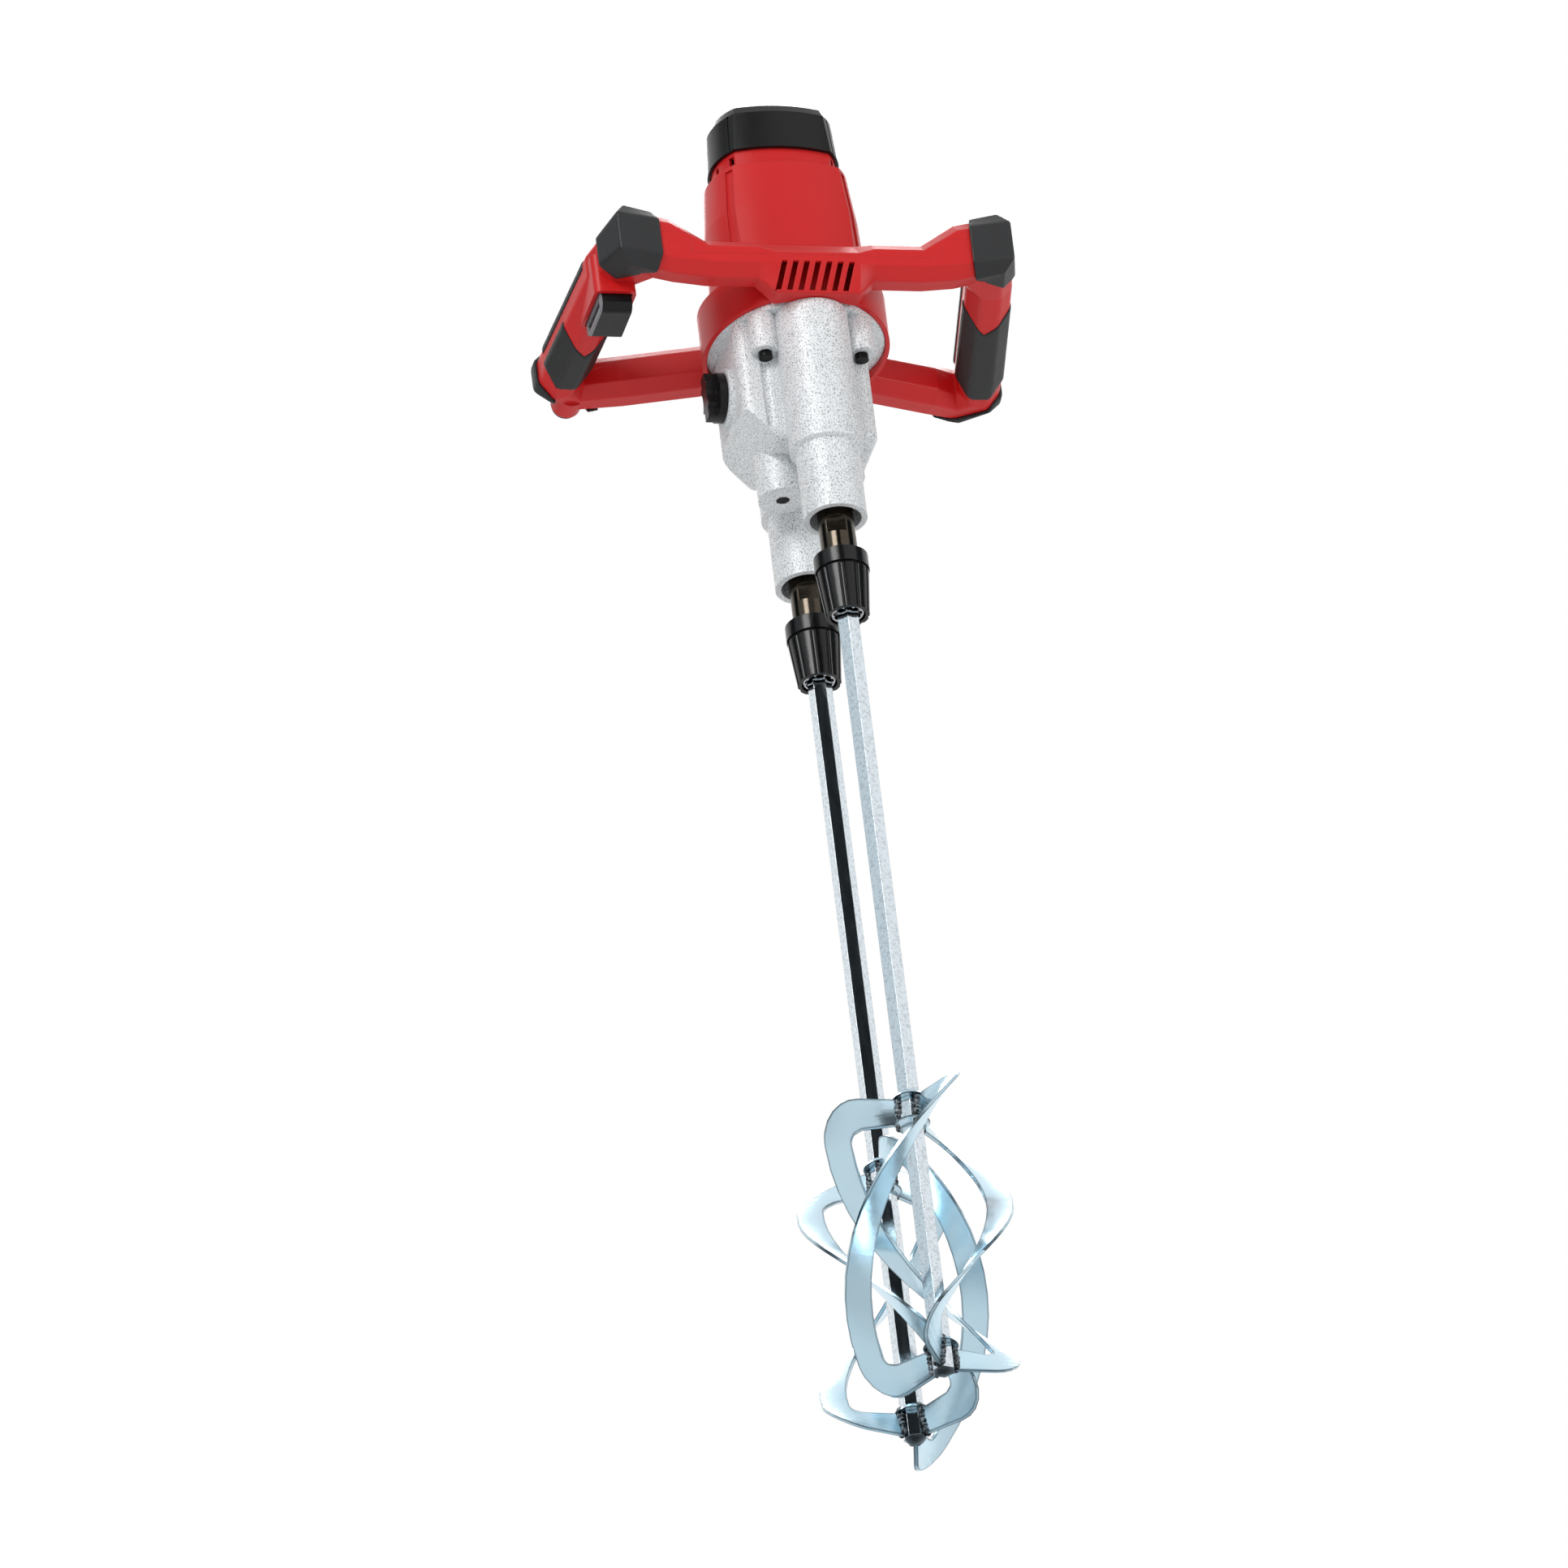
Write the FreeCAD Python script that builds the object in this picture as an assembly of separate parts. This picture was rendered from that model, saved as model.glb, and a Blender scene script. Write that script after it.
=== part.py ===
import FreeCAD, Part
import math
import os

Vector = FreeCAD.Vector

# A two-handled mixing drill with a vertical motor, a cast gear housing and two counter-turning paddles.
# Millimetres. The origin is on the motor axis at grip height, +Z up, +Y to the rear, +X to the right.

FULL_TURN = 360.0
HALF_TURN = 180.0
QUARTER_TURN = 90.0
FAR = 400.0
SAME_SHARE = 0.0001

# Spindles
SPINDLE_PITCH = 86.0
SPINDLE_Y = SPINDLE_PITCH / 2
SPINDLE_SIDES = (("front", -1), ("rear", 1))

# Fits
RUN_CLEAR = 0.06
SLIDE_CLEAR = 0.08
SEAT_CLEAR = 0.3

# Gear housing casting
CASE_TOP_Z = -26.0
CASE_FLOOR_Z = -110.0
CASE_FLOOR_THICK = 6.0
CASE_BOTTOM_Z = CASE_FLOOR_Z - CASE_FLOOR_THICK
CASE_LEFT_X = -51.0
CASE_RIGHT_X = 40.0
CASE_HALF_Y = 36.0
CASE_WALL = 3.0
CASE_CORNER_R = 20.0
CASE_OUTER_CORNER_R = 8.0
CASE_SLOPE_X = -30.0
CASE_SLOPE_Z = -92.0
CASE_SLOPE_WALL = 5.5
CASE_EDGE_R = 5.0
TUBE_UPPER_R = 24.9
TUBE_LOWER_R = 21.4
TUBE_STEP_Z = -131.0
TUBE_MOUTH_Z = -185.0
TUBE_STEP_SLOPE = 1.2
TUBE_INNER_R = 22.3
TUBE_ROOF = 4.0
MOUTH_BORE_R = 17.4
SPINDLE_BEARING_R = 17.5
BEARING_SEAT_Z = -127.0
BEARING_LEDGE = 5.0
BEARING_LEDGE_R = 15.0
FOOT_BOSS_R = 16.5
FOOT_BOSS_X = -21.0
FOOT_BOSS_Y = 3.0
FOOT_BOSS_Z = -142.0
CASE_BOSS_R = 7.5
CASE_FRONT_BOSS_R = 9.5
CASE_BOSS_X = 33.0
CASE_BOSS_Y = 40.0
CASE_BOSS_Z = -53.0
CASE_SCREW_R = 2.5
CASE_SCREW_HEAD_R = 4.6
CASE_SCREW_HEAD = 4.5
CASE_GROOVE_R = 4.0
CASE_GROOVE_DEPTH = 2.2
CASE_GROOVE_LOW_Z = -108.0

# Bearing plate under the motor
PLATE_TOP_Z = -16.0
PLATE_BOSS_R = 20.0
PLATE_BOSS_DEEP = 10.0
MOTOR_BEARING_R = 16.0
SPINDLE_TOP_BEARING_R = 16.0
SHAFT_HOLE_DEEP = 5.0

# Gear train
FIRST_MODULE = 0.75
SECOND_MODULE = 1.0
DRIVE_MODULE = 2.0
MOTOR_PINION_TEETH = 12
FIRST_GEAR_TEETH = 56
LOW_PINION_TEETH = 12
LOW_GEAR_TEETH = 39
HIGH_PINION_TEETH = 16
HIGH_GEAR_TEETH = 35
DRIVE_GEAR_TEETH = 23
SPINDLE_GEAR_TEETH = 20
IDLER_TEETH = 12
PRESSURE_ANGLE = 20.0
ADDENDUM_SHARE = 0.72
DEDENDUM_SHARE = 1.0
BACKLASH_SHARE = 0.07
FLANK_POINTS = 4
GEAR_GAP = 2.0
FIRST_WIDTH = 10.0
LOW_WIDTH = 10.0
HIGH_WIDTH = 10.0
DRIVE_WIDTH = 12.0
SPINDLE_GEAR_WIDTH = 11.0
BRIDGE_THICK = 4.0
SLEEVE_LENGTH = 10.0
SHIFT_TRAVEL = 3.5
LAYSHAFT_R = 4.0
CENTRE_SHAFT_R = 5.0
IDLER_PIN_R = 4.0
LAYSHAFT_X = -FIRST_MODULE * (MOTOR_PINION_TEETH + FIRST_GEAR_TEETH) / 2
FIRST_TOP_Z = CASE_TOP_Z - GEAR_GAP
FIRST_LOW_Z = FIRST_TOP_Z - FIRST_WIDTH
BRIDGE_TOP_Z = FIRST_LOW_Z - GEAR_GAP
BRIDGE_LOW_Z = BRIDGE_TOP_Z - BRIDGE_THICK
LOW_TOP_Z = BRIDGE_LOW_Z - GEAR_GAP
LOW_LOW_Z = LOW_TOP_Z - LOW_WIDTH
SLEEVE_TOP_Z = LOW_LOW_Z - GEAR_GAP
SLEEVE_LOW_Z = SLEEVE_TOP_Z - SLEEVE_LENGTH
HIGH_TOP_Z = SLEEVE_LOW_Z - SHIFT_TRAVEL - SEAT_CLEAR
HIGH_LOW_Z = HIGH_TOP_Z - HIGH_WIDTH
DRIVE_TOP_Z = HIGH_LOW_Z - GEAR_GAP
DRIVE_LOW_Z = DRIVE_TOP_Z - DRIVE_WIDTH
REAR_GEAR_TOP_Z = DRIVE_LOW_Z - GEAR_GAP / 2
REAR_GEAR_LOW_Z = REAR_GEAR_TOP_Z - SPINDLE_GEAR_WIDTH
SLEEVE_R = 14.0
SLEEVE_GROOVE_R = 11.0
SLEEVE_GROOVE_WIDTH = 4.0
DOG_COUNT = 3
DOG_WIDTH = 5.0
DOG_HEIGHT = 3.2
DOG_IN_R = 7.0
DOG_OUT_R = 13.0
DOG_CLEAR = 0.4

# Selector
SELECTOR_Z = (SLEEVE_TOP_Z + SLEEVE_LOW_Z) / 2 - SHIFT_TRAVEL / 2
SELECTOR_BOSS_R = 20.0
SELECTOR_BOSS = 3.5
KNOB_R = 17.0
KNOB_THICK = 5.0
KNOB_BAR_HEIGHT = 7.0
KNOB_BAR_HALF = 4.5
KNOB_LOBE_R = 11.0
KNOB_SHAFT_R = 6.0
KNOB_SHAFT_LENGTH = 6.0
CRANK_PIN_R = 2.0
CRANK_OFFSET = SHIFT_TRAVEL / 2
FORK_HALF_Y = 11.0
FORK_LEFT_X = -42.0
FORK_TAB = 3.5
FORK_TAB_HALF_Y = 8.0
FORK_TAB_HALF_Z = 7.0
FORK_ARM_R = 17.0
FORK_RAIL_X = -26.0
FORK_RAIL_Y = 17.0
FORK_RAIL_R = 2.5
FORK_HUB_R = 5.5
FORK_SLOT_CLEAR = 0.6

# Spindle bodies
SHAFT_R = 8.0
SHAFT_TOP_Z = CASE_TOP_Z - GEAR_GAP
STEM_R = 14.1
STEM_NECK_R = 12.3
STEM_TOP_Z = -155.0
STEM_GUIDE_Z = -219.0
STEM_LOW_Z = -236.0
NOSE_R = 11.5
NOSE_LOW_Z = -257.0
FLAT_HALF = 10.4
FLAT_ANGLE = 73.5
FLAT_TOP_Z = -188.0
FLAT_LOW_Z = -200.0
SOCKET_TOP_Z = -216.0
SEAL_TOP_Z = -143.0
SEAL_THICK = 7.0
LOWER_BEARING_WIDTH = 12.0

# Coupling sleeves
COUPLING_TOP_Z = -215.5
COUPLING_LOW_Z = -260.5
COUPLING_COLLAR_R = 18.4
COUPLING_COLLAR = 11.0
COUPLING_LIP = 3.0
COUPLING_TOP_R = 17.8
COUPLING_LOW_R = 14.7
COUPLING_NECK_R = 16.6
COUPLING_NECK = 1.6
COUPLING_STEP_Z = -246.0
COUPLING_NOSE_CLEAR = 0.4
FLUTE_COUNT = 10
FLUTE_R = 2.4
FLUTE_DEPTH = 0.9

# Rods and paddles
ROD_FLATS = 14.0
HEX_SIDES = 6
ROD_CLEAR = 0.1
ROD_LOW_Z = -852.0
PADDLE_TOP_Z = -640.0
PADDLE_LOW_Z = -851.0
PADDLE_R = 60.0
BLADE_WIDTH = 18.0
BLADE_THICK = 3.0
BLADE_OUTER_BEND = 24.0
BLADE_INNER_BEND = 8.0
BLADE_TWIST = 180.0
BLADE_COUNT = 3
BLADE_PITCH = FULL_TURN / BLADE_COUNT
FRONT_BLADE_ANGLE = 180.0
REAR_BLADE_ANGLE = -103.5
WELD_R = 12.0
WELD_HEIGHT = 4.0
WELD_TIP_SHARE = 0.62
BLADE_ROOT_R = 8.15
BEND_STEPS = 6
TWIST_STEPS = 14
FRONT_HEX_ANGLE = 13.5
REAR_HEX_ANGLE = 43.5

# Motor housing, round with flatter front and back panels
FLAT_CENTRE = 60.0
HOUSING_WALL = 3.0
NECK_HALF_X = 41.5
NECK_HALF_Y = 32.0
NECK_TOP_Z = 113.0
SHOULDER_HALF_X = 48.0
SHOULDER_HALF_Y = 38.5
SHOULDER_Z = 99.0
BELLY_HALF_X = 51.5
BELLY_HALF_Y = 41.5
BELLY_Z = 64.0
WAIST_HALF_X = 53.0
WAIST_HALF_Y = 44.0
WAIST_Z = 22.0
COLLAR_R = 63.0
COLLAR_TOP_Z = 5.0
COLLAR_LOW_Z = -37.0
COLLAR_FRONT_Z = -21.0
REAR_BLOCK_HALF_X = 28.0
REAR_BLOCK_Y = 72.0
REAR_BLOCK_TOP_Z = 10.0
REAR_BLOCK_LOW_Z = -25.0
REAR_BLOCK_CHAMFER = 8.0
PANEL_GROOVE_ANGLES = (-36.0, -144.0, 36.0, 144.0)
PANEL_GROOVE_HALF = 3.2
PANEL_GROOVE_DEPTH = 1.2
PANEL_GROOVE_LOW_Z = 26.0
NECK_SLOT_COUNT = 16
NECK_SLOT_HALF = 2.2
NECK_SLOT_MARGIN = 3.0
NECK_SLOT_SIDE_SHARE = 0.7

# Motor cap
CAP_LOW_HALF_X = 44.0
CAP_LOW_HALF_Y = 35.0
CAP_RIM_HALF_X = 42.0
CAP_RIM_HALF_Y = 34.0
CAP_RIM_Z = 141.0
CAP_CROWN_Z = 147.0
CAP_TOP_Z = 151.5
CAP_CROWN_INSET = 3.0
CAP_DOME_INSET = 9.0
CAP_WALL = 2.2
CAP_GROOVE_HALF = 0.8
CAP_GROOVE_DEPTH = 0.8
CAP_VENT_ROWS = 7
CAP_VENT_PITCH = 7.0
CAP_VENT_HALF_WIDTH = 1.6
CAP_VENT_HALF_LENGTH = 13.0
CAP_VENT_Y = 17.0
CAP_SCREW_X = 31.0
CAP_SCREW_Y = 15.0
CAP_SCREW_R = 1.6
CAP_SCREW_HEAD_R = 3.2
CAP_SCREW_HEAD = 2.5
CAP_POST_R = 4.2

# Motor
BRIDGE_PLATE_THICK = 3.0
TOP_BEARING_R = 11.0
TOP_BEARING_BORE_R = 4.0
TOP_BEARING_WIDTH = 7.0
BEARING_CUP_WALL = 3.0
MOTOR_SHAFT_R = 5.0
PINION_BORE_R = 2.6
STATOR_LOW_Z = 30.0
STATOR_TOP_Z = 80.0
STATOR_BORE_R = 24.2
AIR_GAP = 0.7
CORE_SLOTS = 12
CORE_SLOT_HALF = 1.4
CORE_SLOT_DEPTH = 8.0
COIL_OVERHANG = 8.0
COIL_IN_R = 25.5
COIL_OUT_R = 34.0
COIL_HALF_ANGLE = 62.0
WINDING_R = 20.0
WINDING_OVERHANG = 7.0
COMMUTATOR_R = 14.0
COMMUTATOR_LOW_Z = 88.0
COMMUTATOR_TOP_Z = 101.0
COMMUTATOR_BARS = 24
COMMUTATOR_SLIT = 0.5
FAN_R = 35.0
FAN_LOW_Z = 5.0
FAN_TOP_Z = 18.0
FAN_DISC = 2.0
FAN_BLADES = 11
FAN_BLADE_HALF = 0.9
FAN_HUB_R = 9.0
BRUSH_HALF_Y = 3.6
BRUSH_HALF_Z = 3.8
BRUSH_LENGTH = 11.0
HOLDER_WALL = 1.6
HOLDER_END_X = 36.0
BRUSH_SPRING_R = 2.6

# Handle frame: octagon sections along one path
FRAME_WALL = 2.6
BEAM_HALF = 14.0
BEAM_CHAMFER = 8.0
CHAMFER_SHARE = 0.586
BEAM_ROUND = 2.2
BAR_Y = -65.0
BAR_KNEE_X = 74.0
BLOCK_HALF_X = 28.5
BLOCK_END_X = 40.0
BLOCK_HALF_Y = 15.0
BLOCK_TOP_Z = 15.0
BLOCK_LOW_Z = -25.5
BLOCK_TOP_CHAMFER = 13.0
BLOCK_VENT_DEEP = 7.0
BLOCK_VENT_HIGH = 19.0
RISE_X = 97.0
RISE_Z = 9.5
RISE_ANGLE = -82.0
CORNER_X = 118.0
CORNER_Y = -64.0
CORNER_Z = 15.5
CORNER_ANGLE = -45.0
CORNER_HALF_W = 22.0
CORNER_HALF_H = 21.0
GRIP_FRONT_X = 127.0
GRIP_FRONT_Y = -40.0
GRIP_FRONT_Z = 10.5
GRIP_REAR_X = 138.0
GRIP_REAR_Y = 46.0
GRIP_REAR_Z = -6.5
GRIP_HALF_W = 16.0
GRIP_HALF_H = 17.5
GRIP_CHAMFER = 9.5
GRIP_ROUND = 6.0
TAIL_X = 140.5
TAIL_Y = 64.0
TAIL_Z = -10.0
TAIL_ANGLE = 20.0
HEEL_X = 128.0
HEEL_Y = 74.0
HEEL_Z = -11.0
HEEL_ANGLE = 76.0
ARM_START_X = 106.0
ARM_START_Y = 63.0
ARM_ROOT_X = 45.0
ARM_ROOT_Y = 45.4
ARM_Z = -14.0
ARM_HALF_H = 16.0
SWITCH_SIDE_EXTRA = 6.0
FRAME_HOUSING_CLEAR = 0.2
PARTING_STEP_X = 86.0
VENT_COUNT = 7
VENT_PITCH = 7.7
VENT_HALF_WIDTH = 1.9
VENT_LEAN = 5.0
VENT_TOP_Z = -5.0
VENT_LOW_Z = -24.0

# Trigger housing under the left grip
TRIGGER_BOX_OUT_X = -148.0
TRIGGER_BOX_IN_X = -119.0
TRIGGER_BOX_FRONT_Y = -52.0
TRIGGER_BOX_REAR_Y = -4.0
TRIGGER_BOX_LOW_Z = -15.0
TRIGGER_BOX_TOP_Z = 14.0
TRIGGER_BOX_ROUND = 5.0
TRIGGER_SLOT_CLEAR = 0.6
TRIGGER_SWING_CLEAR = 2.2
TRIGGER_HALF_X = 11.0
TRIGGER_FRONT_Y = -48.0
TRIGGER_REAR_Y = -8.5
TRIGGER_LOW_Z = -26.5
TRIGGER_TOP_Z = -6.0
TRIGGER_ROUND = 6.0
TRIGGER_PIN_R = 2.0
TRIGGER_PIN_Y = -44.0
TRIGGER_PIN_Z = -9.5
TRIGGER_PLATE = 1.6
TRIGGER_PLATE_RIM = 3.2
TRIGGER_MID_X = (TRIGGER_BOX_OUT_X + TRIGGER_BOX_IN_X) / 2
SWITCH_HALF_X = 7.0
SWITCH_LOW_Z = 1.0
LOCK_BUTTON_R = 4.5
LOCK_BUTTON_Y = -28.0
LOCK_BUTTON_Z = 4.0
LOCK_BUTTON_PROUD = 3.0
LOCK_BUTTON_FLANGE = 1.5

# Rubber pieces on the frame
PAD_INSET = 1.3
PAD_PROUD = 0.8
PAD_BAND = 3.0
PAD_FRONT_Y = -22.0
PAD_NOTCH = 16.0
PAD_REAR_Y = 55.5
LEFT_PAD_FRONT_Y = 8.0
UPPER_PAD_FRONT_Y = -34.0
BUMPER_PROUD = 2.4
BUMPER_INSET = 1.2
BUMPER_INNER_X = 98.0
BUMPER_REAR_Y = -56.0
BUMPER_INNER_Y = -62.0
REAR_BUMPER_Y = 77.0
REAR_BUMPER_X = 112.0
REAR_BUMPER_REACH = 55.0

# Cord inlet at the left rear corner
CORD_X = -138.0
CORD_Z = -19.0
CORD_BOSS_R = 10.2
CORD_BOSS_Y = 88.0
CORD_BOSS_FRONT_Y = 71.0
CORD_BOSS_ROUND = 4.0
CORD_BOSS_CLEAR = 1.5
GLAND_R = 7.2
GLAND_FLANGE_R = 8.6
GLAND_FLANGE = 1.8
CORD_BORE_R = 4.4

# Frame screws
FRAME_SCREW_R = 1.7
FRAME_SCREW_HEAD_R = 3.6
FRAME_SCREW_HEAD = 3.0
FRAME_SCREW_SINK = 4.5
FRAME_POST_R = 4.6
FRAME_SCREW_BITE = 12.0


# Plain solids

def cylinder(radius, low_z, high_z, x=0, y=0):
    return Part.makeCylinder(radius, high_z - low_z, Vector(x, y, low_z))


def cylinder_along(radius, start, end):
    run = end - start
    return Part.makeCylinder(radius, run.Length, start, run)


def tube(outer_r, inner_r, low_z, high_z, x=0, y=0):
    return cylinder(outer_r, low_z, high_z, x, y).cut(cylinder(inner_r, low_z, high_z, x, y))


def box(low_x, high_x, low_y, high_y, low_z, high_z):
    corner = Vector(low_x, low_y, low_z)
    return Part.makeBox(high_x - low_x, high_y - low_y, high_z - low_z, corner)


def prism(points, low_z, high_z):
    corners = [Vector(x, y, low_z) for x, y in points]
    face = Part.Face(Part.makePolygon(corners + corners[:1]))
    return face.extrude(Vector(0, 0, high_z - low_z))


def prism_x(points, low_x, high_x):
    corners = [Vector(low_x, y, z) for y, z in points]
    face = Part.Face(Part.makePolygon(corners + corners[:1]))
    return face.extrude(Vector(high_x - low_x, 0, 0))


def prism_y(points, low_y, high_y):
    corners = [Vector(x, low_y, z) for x, z in points]
    face = Part.Face(Part.makePolygon(corners + corners[:1]))
    return face.extrude(Vector(0, high_y - low_y, 0))


def turned(profile):
    corners = [Vector(r, 0, z) for r, z in profile]
    face = Part.Face(Part.makePolygon(corners + corners[:1]))
    return face.revolve(Vector(0, 0, 0), Vector(0, 0, 1), FULL_TURN)


def closed_profile(sizes):
    first_z = sizes[0][1]
    last_z = sizes[-1][1]
    return [(0, first_z)] + sizes + [(0, last_z)]


def oval(levels):
    body = turned(closed_profile([(half_x, z) for half_x, half_y, z in levels]))
    arcs = [(FLAT_CENTRE + half_y, z) for half_x, half_y, z in levels]
    for side in (-1, 1):
        flat = turned(closed_profile(arcs))
        body = body.common(shifted(flat, 0, side * FLAT_CENTRE))
    return body


def merged_faces(body):
    clean = body.removeSplitter()
    if clean.isValid() and abs(clean.Volume / body.Volume - 1) < SAME_SHARE:
        return clean
    return body


def fused(shapes):
    body = shapes[0]
    for shape in shapes[1:]:
        body = body.fuse(shape)
    return merged_faces(body)


def group(shapes):
    return Part.makeCompound(shapes)


def carved(body, tools):
    for tool in tools:
        body = body.cut(tool)
    return body


def around(shape, angle, x=0, y=0):
    copy = shape.copy()
    copy.rotate(Vector(x, y, 0), Vector(0, 0, 1), angle)
    return copy


def shifted(shape, x=0, y=0, z=0):
    copy = shape.copy()
    copy.translate(Vector(x, y, z))
    return copy


def mirrored_x(shape):
    return shape.mirror(Vector(0, 0, 0), Vector(1, 0, 0))


def main_solid(shape):
    return max(shape.Solids, key=lambda solid: solid.Volume)


def write(name, shape):
    shape.exportStep(os.path.join("parts", name + ".step"))


# Gears with involute teeth

def gear_outline(teeth, module, phase):
    pitch_r = module * teeth / 2
    base_r = pitch_r * math.cos(math.radians(PRESSURE_ANGLE))
    tip_r = pitch_r + ADDENDUM_SHARE * module
    root_r = pitch_r - DEDENDUM_SHARE * module
    tooth_pitch = FULL_TURN / teeth
    thin = BACKLASH_SHARE * tooth_pitch / 2
    slope = math.radians(PRESSURE_ANGLE)
    half_angle = tooth_pitch / 4 - thin + math.degrees(math.tan(slope) - slope)
    first_r = max(base_r, root_r)
    flank = []
    for step in range(FLANK_POINTS):
        radius = first_r + (tip_r - first_r) * step / (FLANK_POINTS - 1)
        roll = math.sqrt(max((radius / base_r) ** 2 - 1, 0))
        swing = math.degrees(roll - math.atan(roll))
        flank.append((radius, half_angle - swing))
    if root_r < first_r:
        flank.insert(0, (root_r, half_angle))
    points = []
    for tooth in range(teeth):
        middle = phase + tooth * tooth_pitch
        rising = [(radius, middle - angle) for radius, angle in flank]
        falling = [(radius, middle + angle) for radius, angle in reversed(flank)]
        points.extend(rising + falling)
    corners = []
    for radius, angle in points:
        turn = math.radians(angle)
        corners.append((radius * math.cos(turn), radius * math.sin(turn)))
    return corners


def gear(teeth, module, low_z, high_z, bore_r, phase, x=0, y=0):
    blank = prism(gear_outline(teeth, module, phase), low_z, high_z)
    return shifted(blank.cut(cylinder(bore_r, low_z, high_z)), x, y)


def meshed_phase(phase, teeth, next_teeth, direction):
    pitch = FULL_TURN / teeth
    next_pitch = FULL_TURN / next_teeth
    offset = (direction - phase) / pitch
    return direction + HALF_TURN + (offset + 1 / 2) * next_pitch


# Places of the gears

FRONT_DIRECTION = -QUARTER_TURN
IDLER_SPAN = DRIVE_MODULE * (DRIVE_GEAR_TEETH + IDLER_TEETH) / 2
IDLER_TO_SPINDLE = DRIVE_MODULE * (IDLER_TEETH + SPINDLE_GEAR_TEETH) / 2
IDLER_Y = (IDLER_SPAN ** 2 - IDLER_TO_SPINDLE ** 2 + SPINDLE_Y ** 2) / (2 * SPINDLE_Y)
IDLER_X = math.sqrt(IDLER_SPAN ** 2 - IDLER_Y ** 2)
IDLER_DIRECTION = math.degrees(math.atan2(IDLER_Y, IDLER_X))
REAR_DIRECTION = math.degrees(math.atan2(SPINDLE_Y - IDLER_Y, -IDLER_X))
DRIVE_PHASE = 0.0
FRONT_GEAR_PHASE = meshed_phase(DRIVE_PHASE, DRIVE_GEAR_TEETH, SPINDLE_GEAR_TEETH, FRONT_DIRECTION)
IDLER_PHASE = meshed_phase(DRIVE_PHASE, DRIVE_GEAR_TEETH, IDLER_TEETH, IDLER_DIRECTION)
REAR_GEAR_PHASE = meshed_phase(IDLER_PHASE, IDLER_TEETH, SPINDLE_GEAR_TEETH, REAR_DIRECTION)
LOW_PINION_PHASE = meshed_phase(0, LOW_GEAR_TEETH, LOW_PINION_TEETH, HALF_TURN)
HIGH_PINION_PHASE = meshed_phase(0, HIGH_GEAR_TEETH, HIGH_PINION_TEETH, HALF_TURN)
FIRST_GEAR_PHASE = meshed_phase(0, MOTOR_PINION_TEETH, FIRST_GEAR_TEETH, HALF_TURN)
IDLER_TIP_R = DRIVE_MODULE * IDLER_TEETH / 2 + DRIVE_MODULE * ADDENDUM_SHARE
IDLER_BULGE_R = IDLER_TIP_R + GEAR_GAP / 2


# Gear housing

def rounded_plan(left_x, right_x, half_y, corner_r, low_z, high_z):
    body = box(left_x, right_x, -half_y, half_y, low_z, high_z)
    upright = [edge for edge in body.Edges if edge.BoundBox.ZLength > (high_z - low_z) / 2]
    return body.makeFillet(corner_r, upright)


def case_screw_places():
    return [(side * CASE_BOSS_X, end * CASE_BOSS_Y) for side in (-1, 1) for end in (-1, 1)]


def case_slope(shift):
    run = CASE_SLOPE_X - CASE_LEFT_X
    drop = CASE_SLOPE_Z - CASE_BOTTOM_Z
    left_x = CASE_LEFT_X - run + shift
    low_z = CASE_BOTTOM_Z - drop
    outline = [(left_x, CASE_SLOPE_Z + drop), (CASE_SLOPE_X + run + shift, low_z), (left_x, low_z)]
    return prism_y(outline, -FAR, FAR)


def case_bosses():
    bosses = []
    for x, y in case_screw_places():
        boss_r = CASE_FRONT_BOSS_R if y < 0 else CASE_BOSS_R
        bosses.append(cylinder(boss_r, CASE_BOSS_Z, CASE_TOP_Z, x, y))
    return bosses


def case_tube(y):
    body = turned([
        (0, CASE_TOP_Z),
        (TUBE_UPPER_R, CASE_TOP_Z),
        (TUBE_UPPER_R, TUBE_STEP_Z),
        (TUBE_LOWER_R, TUBE_STEP_Z - TUBE_STEP_SLOPE),
        (TUBE_LOWER_R, TUBE_MOUTH_Z),
        (0, TUBE_MOUTH_Z),
    ])
    return shifted(body, 0, y)


def case_tube_hollow(y):
    ledge_low_z = BEARING_SEAT_Z - BEARING_LEDGE
    roof_z = CASE_TOP_Z - TUBE_ROOF
    roof_hole_r = PLATE_BOSS_R + SEAT_CLEAR
    body = turned([
        (0, CASE_TOP_Z + TUBE_ROOF),
        (roof_hole_r, CASE_TOP_Z + TUBE_ROOF),
        (roof_hole_r, roof_z),
        (TUBE_INNER_R, roof_z),
        (TUBE_INNER_R, CASE_FLOOR_Z),
        (SPINDLE_BEARING_R, CASE_FLOOR_Z),
        (SPINDLE_BEARING_R, BEARING_SEAT_Z),
        (BEARING_LEDGE_R, BEARING_SEAT_Z),
        (BEARING_LEDGE_R, ledge_low_z),
        (MOUTH_BORE_R, ledge_low_z),
        (MOUTH_BORE_R, TUBE_MOUTH_Z - TUBE_ROOF),
        (0, TUBE_MOUTH_Z - TUBE_ROOF),
    ])
    return shifted(body, 0, y)


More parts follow.
